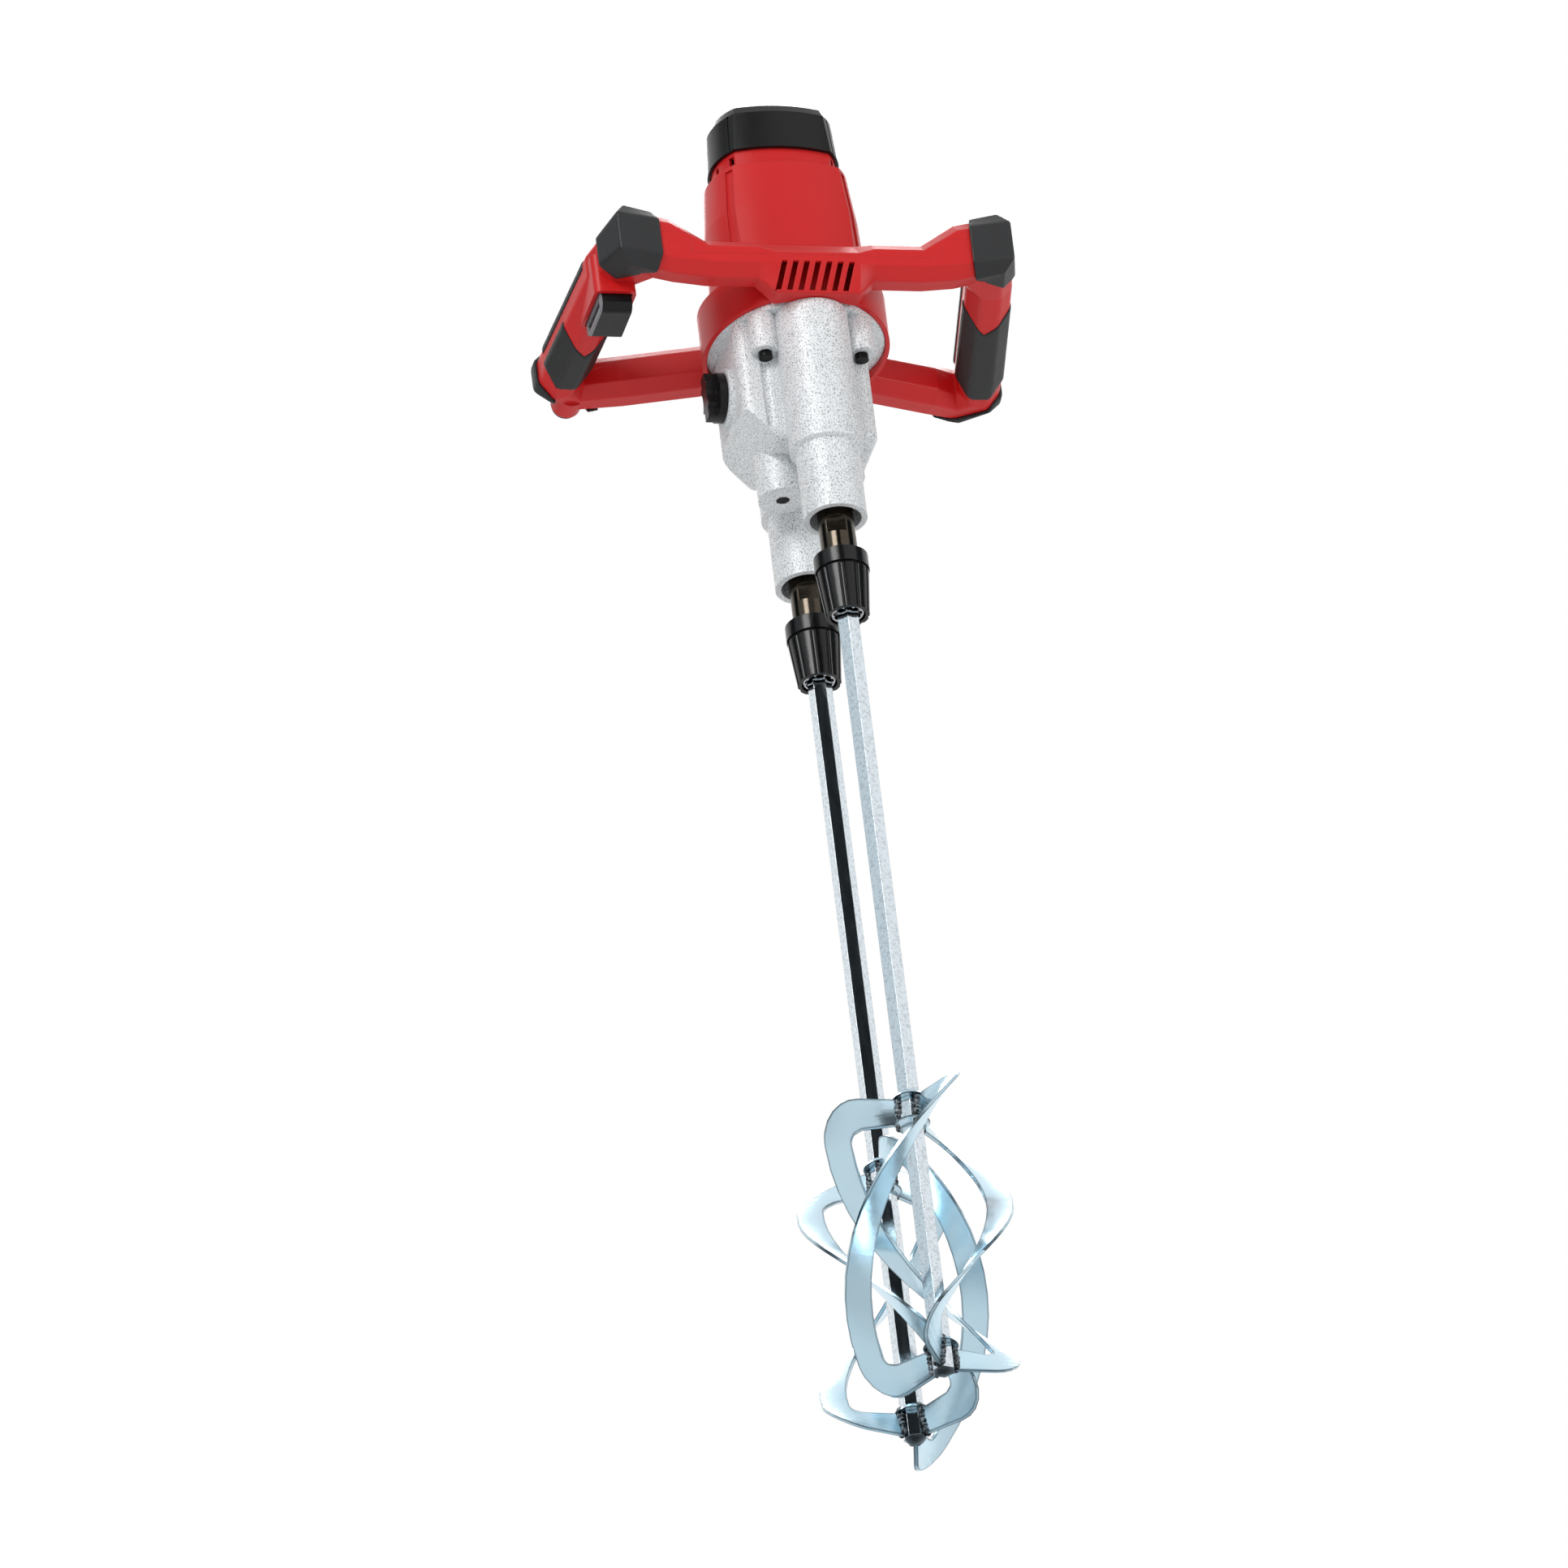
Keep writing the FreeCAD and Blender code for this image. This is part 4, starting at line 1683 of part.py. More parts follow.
def trigger_plate():
    low_x = TRIGGER_MID_X - TRIGGER_HALF_X
    plate_x = low_x + TRIGGER_PLATE
    body = box(low_x, plate_x, TRIGGER_FRONT_Y, TRIGGER_REAR_Y, TRIGGER_LOW_Z, TRIGGER_TOP_Z)
    body = rounded_below(body)
    rim = TRIGGER_PLATE_RIM
    front_y = TRIGGER_FRONT_Y + rim
    rear_y = TRIGGER_REAR_Y - rim
    window = box(low_x, plate_x, front_y, rear_y, TRIGGER_LOW_Z + rim, TRIGGER_BOX_LOW_Z - rim)
    return body.cut(window).cut(trigger_pin_line(TRIGGER_PIN_R + RUN_CLEAR))


def trigger_pin_line(radius):
    reach = TRIGGER_HALF_X + TRIGGER_SLOT_CLEAR
    start = Vector(TRIGGER_MID_X - reach, TRIGGER_PIN_Y, TRIGGER_PIN_Z)
    return cylinder_along(radius, start, start + Vector(2 * reach, 0, 0))


def switch_body():
    low_x = TRIGGER_BOX_OUT_X + FRAME_WALL + SEAT_CLEAR
    high_x = TRIGGER_MID_X + SWITCH_HALF_X
    high_z = TRIGGER_BOX_TOP_Z - SEAT_CLEAR
    return box(low_x, high_x, TRIGGER_PIN_Y, TRIGGER_REAR_Y, SWITCH_LOW_Z, high_z)


def build():
    os.makedirs("parts", exist_ok=True)
    write("gear_housing", gear_housing())
    write("gear_housing_screws", gear_housing_screws())
    write("gear_bridge", gear_bridge())
    write("bearing_plate", bearing_plate())
    write("layshaft", layshaft())
    write("layshaft_gear", layshaft_gear())
    write("layshaft_pinions", layshaft_pinions())
    write("motor_pinion", motor_pinion())
    write("centre_shaft", centre_shaft())
    write("low_gear", low_gear())
    write("high_gear", high_gear())
    write("drive_gear", drive_gear())
    write("shift_sleeve", shift_sleeve())
    write("shift_fork", shift_fork())
    write("idler_gear", idler_gear())
    write("gearbox_pins", group([fork_rail(), idler_pin()]))
    write("selector_knob", selector_knob())
    for name, side in SPINDLE_SIDES:
        y = side * SPINDLE_Y
        front = name == "front"
        hex_angle = FRONT_HEX_ANGLE if front else REAR_HEX_ANGLE
        blade_angle = FRONT_BLADE_ANGLE if front else REAR_BLADE_ANGLE
        twist = -BLADE_TWIST if front else BLADE_TWIST
        gear_top = DRIVE_TOP_Z if front else REAR_GEAR_TOP_Z
        gear_low = DRIVE_LOW_Z if front else REAR_GEAR_LOW_Z
        phase = FRONT_GEAR_PHASE if front else REAR_GEAR_PHASE
        rod_shape = rod(hex_angle)
        blades = paddle(blade_angle, twist)
        write(name + "_spindle", shifted(spindle(hex_angle), 0, y))
        teeth = SPINDLE_GEAR_TEETH
        write(name + "_spindle_gear", gear(teeth, DRIVE_MODULE, gear_low, gear_top, SHAFT_R, phase, 0, y))
        write(name + "_coupling_sleeve", shifted(coupling_sleeve(), 0, y))
        write(name + "_coupling_spring", shifted(coupling_spring(), 0, y))
        write(name + "_rod", shifted(rod_shape, 0, y))
        write(name + "_paddle", shifted(group(blades + weld_rings(rod_shape)), 0, y))
    write("motor_housing", motor_housing())
    write("motor_cap", motor_cap())
    write("brush_bridge", brush_bridge())
    write("brush_holders", brush_holders())
    write("carbon_brushes", carbon_brushes())
    write("brush_springs", brush_springs())
    write("stator_core", stator_core())
    write("field_coils", field_coils())
    write("armature_core", armature_core())
    write("armature_windings", armature_windings())
    write("commutator", commutator())
    write("cooling_fan", cooling_fan())
    write("armature_shaft", armature_shaft())
    write("motor_bearings", motor_bearings())
    write("spindle_bearings", spindle_bearings())
    write("shaft_seals", shaft_seals())
    outer = frame_path(0)
    pad_skin = frame_path(PAD_PROUD).cut(frame_path(-PAD_INSET))
    bumper_skin = frame_path(BUMPER_PROUD).cut(frame_path(-BUMPER_INSET))
    below_band = grip_band(-FAR, -PAD_BAND)
    above_band = grip_band(PAD_BAND, FAR)
    rubber = []
    rear_bumpers = []
    for name, side, extra in (("right", 1, 0), ("left", -1, SWITCH_SIDE_EXTRA)):
        low_front = PAD_FRONT_Y if name == "right" else LEFT_PAD_FRONT_Y
        low_plan = pad_plan(side, extra, low_front, PAD_NOTCH)
        high_plan = pad_plan(side, extra, UPPER_PAD_FRONT_Y, 0)
        low_pad = main_solid(pad_skin.common(low_plan).common(below_band))
        high_pad = main_solid(pad_skin.common(high_plan).common(above_band))
        front_corner = bumper_skin.common(front_bumper_region(side))
        front_bumper = main_solid(front_corner.cut(trigger_side_room()))
        rear_corner = bumper_skin.common(rear_bumper_region(side, extra))
        rear_bumper = main_solid(rear_corner.cut(cord_boss_room()))
        write(name + "_grip_pads", group([low_pad, high_pad]))
        write(name + "_front_bumper", front_bumper)
        rear_bumpers.append(rear_bumper)
        rubber.extend([low_pad, high_pad, front_bumper, rear_bumper])
    write("rear_bumpers", group(rear_bumpers))
    upper, lower = frame_shells(outer, rubber)
    write("frame_upper_shell", upper)
    write("frame_lower_shell", lower)
    write("case_screws", group(cap_screws() + frame_screws()))
    write("cord_gland", cord_gland())
    write("lock_button", lock_button())
    write("trigger", trigger())
    write("trigger_plate", trigger_plate())
    write("trigger_pin", trigger_pin_line(TRIGGER_PIN_R))
    write("switch_body", switch_body())


build()
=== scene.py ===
import math

import bmesh
import bpy
from bpy.props import FloatProperty, FloatVectorProperty, IntProperty, PointerProperty
from mathutils import Matrix, Vector


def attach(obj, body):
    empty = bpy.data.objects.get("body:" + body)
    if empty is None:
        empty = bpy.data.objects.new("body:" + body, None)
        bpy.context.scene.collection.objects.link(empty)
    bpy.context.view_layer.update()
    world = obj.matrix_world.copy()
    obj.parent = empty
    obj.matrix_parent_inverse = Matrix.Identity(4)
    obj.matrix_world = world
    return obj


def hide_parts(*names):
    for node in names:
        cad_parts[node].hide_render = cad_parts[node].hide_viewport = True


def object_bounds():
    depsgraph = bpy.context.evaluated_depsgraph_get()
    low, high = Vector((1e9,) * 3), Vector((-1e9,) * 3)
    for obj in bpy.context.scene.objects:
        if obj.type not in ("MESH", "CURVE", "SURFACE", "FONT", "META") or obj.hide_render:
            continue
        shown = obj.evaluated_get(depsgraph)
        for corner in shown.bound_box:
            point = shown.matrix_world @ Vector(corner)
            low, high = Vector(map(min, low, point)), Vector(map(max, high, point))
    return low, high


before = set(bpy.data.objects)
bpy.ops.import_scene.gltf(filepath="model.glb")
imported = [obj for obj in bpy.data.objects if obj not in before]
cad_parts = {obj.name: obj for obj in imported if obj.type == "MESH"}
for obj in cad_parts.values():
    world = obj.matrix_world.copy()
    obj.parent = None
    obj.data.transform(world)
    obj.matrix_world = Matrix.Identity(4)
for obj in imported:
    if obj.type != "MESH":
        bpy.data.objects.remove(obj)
CAD_BOX = [list(corner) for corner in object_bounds()]

bl_info = {
    "name": "Mixing drill",
    "version": (1, 0, 0),
    "blender": (4, 5, 0),
    "location": "View3D > Sidebar > Mixing drill",
    "description": "Gives the mixing drill its finishes and fine shapes, and sets its studio",
    "category": "Object",
}

LOW_CORNER = 0
UP_AXIS = 2
FLOOR_GAP = 0.001
MERGE_DISTANCE = 0.00001
LENGTH_DIGITS = 5
OPAQUE = 1

# Which way each spindle lies from the motor axis, which is also the hand of its paddle
SIDES = {"front": -1, "rear": 1}

# Screen values to plain light, as the sRGB standard gives them
TINT_TOP = 255.0
TINT_LIMIT = 0.04045
TINT_SLOPE = 12.92
TINT_LIFT = 0.055
TINT_POWER = 2.4


# Sizes and colours that a user may change

def tint(red, green, blue):
    """A screen colour as plain light."""
    shades = []
    for level in (red, green, blue):
        bright = level / TINT_TOP
        if bright <= TINT_LIMIT:
            shades.append(bright / TINT_SLOPE)
        else:
            shades.append(((bright + TINT_LIFT) / (1 + TINT_LIFT)) ** TINT_POWER)
    return tuple(shades)


def colour(name, description, screen):
    return FloatVectorProperty(
        name=name, description=description, subtype="COLOR", default=tint(*screen), min=0, max=1,
    )


def length(name, description, default):
    return FloatProperty(
        name=name, description=description, unit="LENGTH", precision=LENGTH_DIGITS, default=default,
    )


def share(name, description, default):
    return FloatProperty(name=name, description=description, subtype="FACTOR", default=default)


def angle(name, description, degrees):
    return FloatProperty(name=name, description=description, subtype="ANGLE", default=math.radians(degrees))


def power(name, description, watts):
    return FloatProperty(name=name, description=description, unit="POWER", default=watts)


def count(name, description, default):
    return IntProperty(name=name, description=description, default=default)


def point(name, description, default):
    return FloatVectorProperty(
        name=name, description=description, subtype="TRANSLATION", unit="LENGTH", default=default,
    )


def shares(name, description, default):
    return FloatVectorProperty(name=name, description=description, default=default)


class MixerColours(bpy.types.PropertyGroup):
    """The paints and plain colours of the drill."""

    red: colour("Red moulding", "Motor housing and handle frame", (200, 20, 22))
    black: colour("Black moulding", "Motor cap, knob and trigger", (9, 9, 10))
    sleeve: colour("Sleeve", "Coupling sleeves", (9, 9, 10))
    rubber: colour("Rubber", "Grip pads and bumpers", (27, 28, 30))
    casting: colour("Casting", "Silver coat on the gear housing", (235, 238, 240))
    fleck: colour("Fleck", "Dark flecks in the silver coat", (132, 137, 142))
    oxide: colour("Oxide", "Dark oxide on the spindle stems", (82, 75, 66))
    rod: colour("Rod zinc", "Bright plate on the hexagon rods", (220, 229, 235))
    blade: colour("Blade zinc", "Pale blue plate on the paddle blades", (203, 230, 243))
    # Painted reflection: a dark blue-grey laid on the rounded edges of the blades, standing in for the dark
    # reflection that their sharp edges show
    edge: colour("Blade edge", "Cut edges of the paddle blades", (30, 42, 50))
    weld: colour("Weld", "Weld beads between blades and rods", (128, 134, 138))
    grey: colour("Grey moulding", "Side plate of the trigger", (120, 121, 125))
    steel: colour("Steel", "Shafts, gears and screws", (150, 150, 152))
    copper: colour("Copper", "Windings and commutator", (176, 104, 62))
    chrome: colour("Chrome", "Rings and balls in the couplings", (214, 216, 220))
    floor: colour("Floor", "Studio floor", (240, 240, 240))
    card: colour("Dark card", "Board behind the camera", (30, 34, 37))
    side_card: colour("Side card", "Board at the left of the camera", (234, 243, 248))
    edge_card: colour("Edge cards", "Boards far out at both sides", (44, 60, 68))


class MixerStudio(bpy.types.PropertyGroup):
    """Camera, lamps and boards of the studio."""

    azimuth: angle("Azimuth", "Turn of the camera round the drill", -16.5)
    elevation: angle("Elevation", "Height angle of the camera, negative from below", -31.0)
    roll: angle("Roll", "Lean of the camera about its line of sight", -7.25)
    distance: length("Distance", "Distance from the camera to the middle of the picture", 4.0)
    width: length("Width", "Width that the parallel camera takes in", 1.0443)
    middle: point("Middle", "Point that the camera looks at", (-0.046, 0.0, -0.3665))
    floor_half: length("Floor", "Half the width of the floor", 12.0)
    card_distance: length("Card distance", "Distance of the boards from the motor axis", 3.9)
    card_width: length("Card width", "Width of each board", 2.4)
    card_height: length("Card height", "Height of each board", 7.0)
    side_turn: angle("Side card turn", "Turn of the side board from the dark one", -62.0)
    edge_turn: angle("Edge card turn", "Turn of the outer boards from the dark one", 89.0)
    ambient: share("Ambient", "Strength of the even light from all sides", 0.42)
    target: point("Target", "Point that the lamps look at", (0.0, 0.0, -0.2))
    key: power("Key lamp", "Power of the large lamp at the front left", 70.0)
    key_size: length("Key lamp size", "Width of the key lamp", 1.6)
    key_place: point("Key lamp place", "Where the key lamp stands", (-2.2, -2.8, 1.4))
    fill: power("Fill lamp", "Power of the lamp low on the right", 36.0)
    fill_size: length("Fill lamp size", "Width of the fill lamp", 2.0)
    fill_place: point("Fill lamp place", "Where the fill lamp stands", (2.6, -2.2, -0.4))
    rim: power("Rim lamp", "Power of the lamp above and behind", 60.0)
    rim_size: length("Rim lamp size", "Width of the rim lamp", 1.5)
    rim_place: point("Rim lamp place", "Where the rim lamp stands", (0.6, 2.4, 2.2))


class MixerRubber(bpy.types.PropertyGroup):
    """How soft the rubber pieces are."""

    voxel: length("Voxel", "Fineness of the rubber pieces", 0.0008)
    smooth_share: share("Smoothing", "How far each smoothing step goes", 0.5)
    smooth_steps: count("Smoothing steps", "How many smoothing steps the rubber gets", 9)


class MixerWeld(bpy.types.PropertyGroup):
    """Weld beads where the paddle arms meet the rods."""

    beads: count("Beads", "Beads at each arm end", 12)
    arms: count("Arms", "Arms at each end of a paddle", 3)
    bead: length("Bead", "Radius of one bead", 0.0017)
    root: length("Root radius", "Distance of the beads from the rod's axis", 0.0092)
    arm: length("Arm height", "Height of an arm along the rod", 0.018)
    height: length("Paddle height", "Height between the outermost beads", 0.207)
    top: length("Paddle top", "Height of the topmost beads", -0.642)
    axis: length("Rod distance", "Distance of each rod from the motor axis", 0.043)
    front_angle: angle("Front angle", "Turn of the front paddle's first top arm", 180.0)
    rear_angle: angle("Rear angle", "Turn of the rear paddle's first top arm", -103.5)
    twist: angle("Twist", "Turn of a blade from top to bottom", 180.0)
    spread: angle("Spread", "How far the beads lie to each side of an arm", 13.0)
    lumps: length("Lumps", "How far the lumps stand out", 0.0014)
    lump_size: length("Lump size", "Width of one lump", 0.003)
    lump_detail: count("Lump detail", "Fineness of the lumps", 2)
    small_shares: shares("Smallest bead", "Shares of the bead's radius", (0.7, 0.7, 0.6))
    large_shares: shares("Largest bead", "Shares of the bead's radius", (1.3, 1.3, 1.4))
    fineness: count("Bead fineness", "Subdivisions of one bead", 2)
    seed: count("Seed", "Picks the sizes of the beads", 3)


class MixerCoupling(bpy.types.PropertyGroup):
    """Bright ring and balls at the mouth of each coupling."""

    ring: length("Ring radius", "Middle of the ring", 0.0104)
    thick: length("Ring thickness", "Radius of the ring's own section", 0.0009)
    balls: count("Balls", "Balls in one coupling", 9)
    ball: length("Ball", "Radius of one ball", 0.0013)
    ball_ring: length("Ball circle", "Radius of the circle of balls", 0.0096)
    height: length("Height", "Height of the ring", -0.2585)
    axis: length("Spindle distance", "Distance of each spindle from the motor axis", 0.043)
    steps: count("Ring steps", "Corners of the ring", 48)
    section_steps: count("Section steps", "Corners of the ring's own section", 10)
    fineness: count("Ball fineness", "Subdivisions of one ball", 2)


# Nodes, and sums on their sockets

FIRST = 0
SECOND = 1


class Value:
    """A socket that takes part in Python sums."""

    def __init__(self, nodes, socket):
        self.nodes = nodes
        self.socket = socket

    def sum(self, operation, first, second):
        return self.nodes.node("ShaderNodeMath", {"operation": operation}, {FIRST: first, SECOND: second})

    def __add__(self, other):
        return self.sum("ADD", self, other)

    def __radd__(self, other):
        return self.sum("ADD", other, self)

    def __sub__(self, other):
        return self.sum("SUBTRACT", self, other)

    def __rsub__(self, other):
        return self.sum("SUBTRACT", other, self)

    def __mul__(self, other):
        return self.sum("MULTIPLY", self, other)

    def __rmul__(self, other):
        return self.sum("MULTIPLY", other, self)

    def __truediv__(self, other):
        return self.sum("DIVIDE", self, other)

    def __mod__(self, other):
        return self.sum("FLOORED_MODULO", self, other)

    def floor(self):
        return self.sum("FLOOR", self, 0)

    def cosine(self):
        return self.sum("COSINE", self, 0)

    def sine(self):
        return self.sum("SINE", self, 0)


class Nodes:
    """Makes and links the nodes of one tree."""

    def __init__(self, tree):
        self.tree = tree

    def node(self, kind, settings=(), inputs=(), output=0):
        made = self.tree.nodes.new(kind)
        for key, setting in dict(settings).items():
            if key == "stops":
                self.set_stops(made.color_ramp, setting)
            else:
                setattr(made, key, setting)
        for key, given in dict(inputs).items():
            self.fill(made.inputs[key], given)
        return Value(self, made.outputs[output]) if made.outputs else None

    def fill(self, socket, given):
        if isinstance(given, list):
            for one in given:
                self.fill(socket, one)
        elif isinstance(given, Value):
            self.tree.links.new(given.socket, socket)
        else:
            socket.default_value = given

    @staticmethod
    def set_stops(ramp, stops):
        for index, (position, shade) in enumerate(stops):
            if index < len(ramp.elements):
                element = ramp.elements[index]
                element.position = position
            else:
                element = ramp.elements.new(position)
            element.color = (shade, shade, shade, OPAQUE)


# Width of the rounding that the light sees on an edge
SOFT_EDGE = 0.0008
FINE_EDGE = 0.0004
EDGE_SAMPLES = 4
# Painted reflection: how far the rounded normal must turn from the flat one before the dark edge paint
# starts, and where it is full
PAINTED_EDGE_REFLECTION_STOPS = [(0.015, 0.0), (0.09, 0.95)]

# Sockets of the colour mix
MIX_FACTOR = 0
MIX_FIRST = 6
MIX_SECOND = 7
MIX_RESULT = 2

# Sockets of the shader mix
BLEND_FACTOR = 0
BLEND_FIRST = 1
BLEND_SECOND = 2

EVEN_ROUGH = 0.5


class Finish(Nodes):
    """The nodes of one material, or of the world round the drill."""

    def __init__(self, owner):
        owner.use_nodes = True
        super().__init__(owner.node_tree)
        self.owner = owner
        self.tree.nodes.clear()
        self.place = self.node("ShaderNodeTexCoord", output="Object")

    def pattern(self, size, detail=None, rough=EVEN_ROUGH, stretch=None):
        where = self.place
        if stretch is not None:
            where = self.node("ShaderNodeMapping", {}, {"Vector": where, "Scale": stretch})
        sockets = {"Vector": where, "Scale": 1 / size}
        if detail is None:
            return self.node("ShaderNodeTexVoronoi", {}, sockets)
        sockets["Detail"] = detail
        sockets["Roughness"] = rough
        return self.node("ShaderNodeTexNoise", {}, sockets)

    def ramp(self, value, stops):
        return self.node("ShaderNodeValToRGB", {"stops": stops}, {"Fac": value})

    def mix(self, factor, first, second):
        first = first if isinstance(first, Value) else (*first, OPAQUE)
        second = second if isinstance(second, Value) else (*second, OPAQUE)
        sockets = {MIX_FACTOR: factor, MIX_FIRST: first, MIX_SECOND: second}
        return self.node("ShaderNodeMix", {"data_type": "RGBA"}, sockets, MIX_RESULT)

    def blend(self, factor, first, second):
        return self.node("ShaderNodeMixShader", {}, {
            BLEND_FACTOR: factor, BLEND_FIRST: first, BLEND_SECOND: second,
        })

    def rounded(self, radius):
        return self.node("ShaderNodeBevel", {"samples": EDGE_SAMPLES}, {"Radius": radius})

    def bump(self, height, depth, edge):
        return self.node("ShaderNodeBump", {}, {
            "Height": height, "Distance": depth, "Normal": self.rounded(edge),
        })

    # Painted reflection: a mask of the rounded edges, where a finish with a rim gets dark edge paint in
    # place of the dark reflection that sharp edges show
    def edges(self, radius):
        flat = self.node("ShaderNodeNewGeometry", output="Normal")
        sockets = {FIRST: self.rounded(radius), SECOND: flat}
        same = self.node("ShaderNodeVectorMath", {"operation": "DOT_PRODUCT"}, sockets, "Value")
        return self.ramp(1 - same, PAINTED_EDGE_REFLECTION_STOPS)

    def close(self, shader):
        self.node("ShaderNodeOutputMaterial", {}, {"Surface": shader})
        return self.owner


def plain_mesh(holder):
    """The mesh that an object's modifiers make of it."""
    graph = bpy.context.evaluated_depsgraph_get()
    return bpy.data.meshes.new_from_object(holder.evaluated_get(graph))


class Growth(Nodes):
    """A geometry tree with named sizes that makes one plain mesh."""

    def __init__(self, name, sizes):
        super().__init__(bpy.data.node_groups.new(name, "GeometryNodeTree"))
        self.values = {}
        for size_name, value in sizes.items():
            kind = "NodeSocketInt" if isinstance(value, int) else "NodeSocketFloat"
            socket = self.tree.interface.new_socket(name=size_name, in_out="INPUT", socket_type=kind)
            self.values[socket.identifier] = value
        self.tree.interface.new_socket(name="Shape", in_out="OUTPUT", socket_type="NodeSocketGeometry")
        self.entry = self.tree.nodes.new("NodeGroupInput")

    def size(self, name):
        return Value(self, self.entry.outputs[name])

    def close(self, shape, material):
        whole = self.node("GeometryNodeRealizeInstances", {}, {"Geometry": shape})
        dressed = self.node("GeometryNodeSetMaterial", {}, {"Geometry": whole, "Material": material})
        self.node("NodeGroupOutput", {}, {"Shape": dressed})

    def mesh(self, name):
        holder = bpy.data.objects.new(name, bpy.data.meshes.new(name))
        bpy.context.scene.collection.objects.link(holder)
        modifier = holder.modifiers.new("growth", "NODES")
        modifier.node_group = self.tree
        for identifier, value in self.values.items():
            modifier[identifier] = value
        made = plain_mesh(holder)
        bpy.data.objects.remove(holder)
        return made


# Finishes of the drill

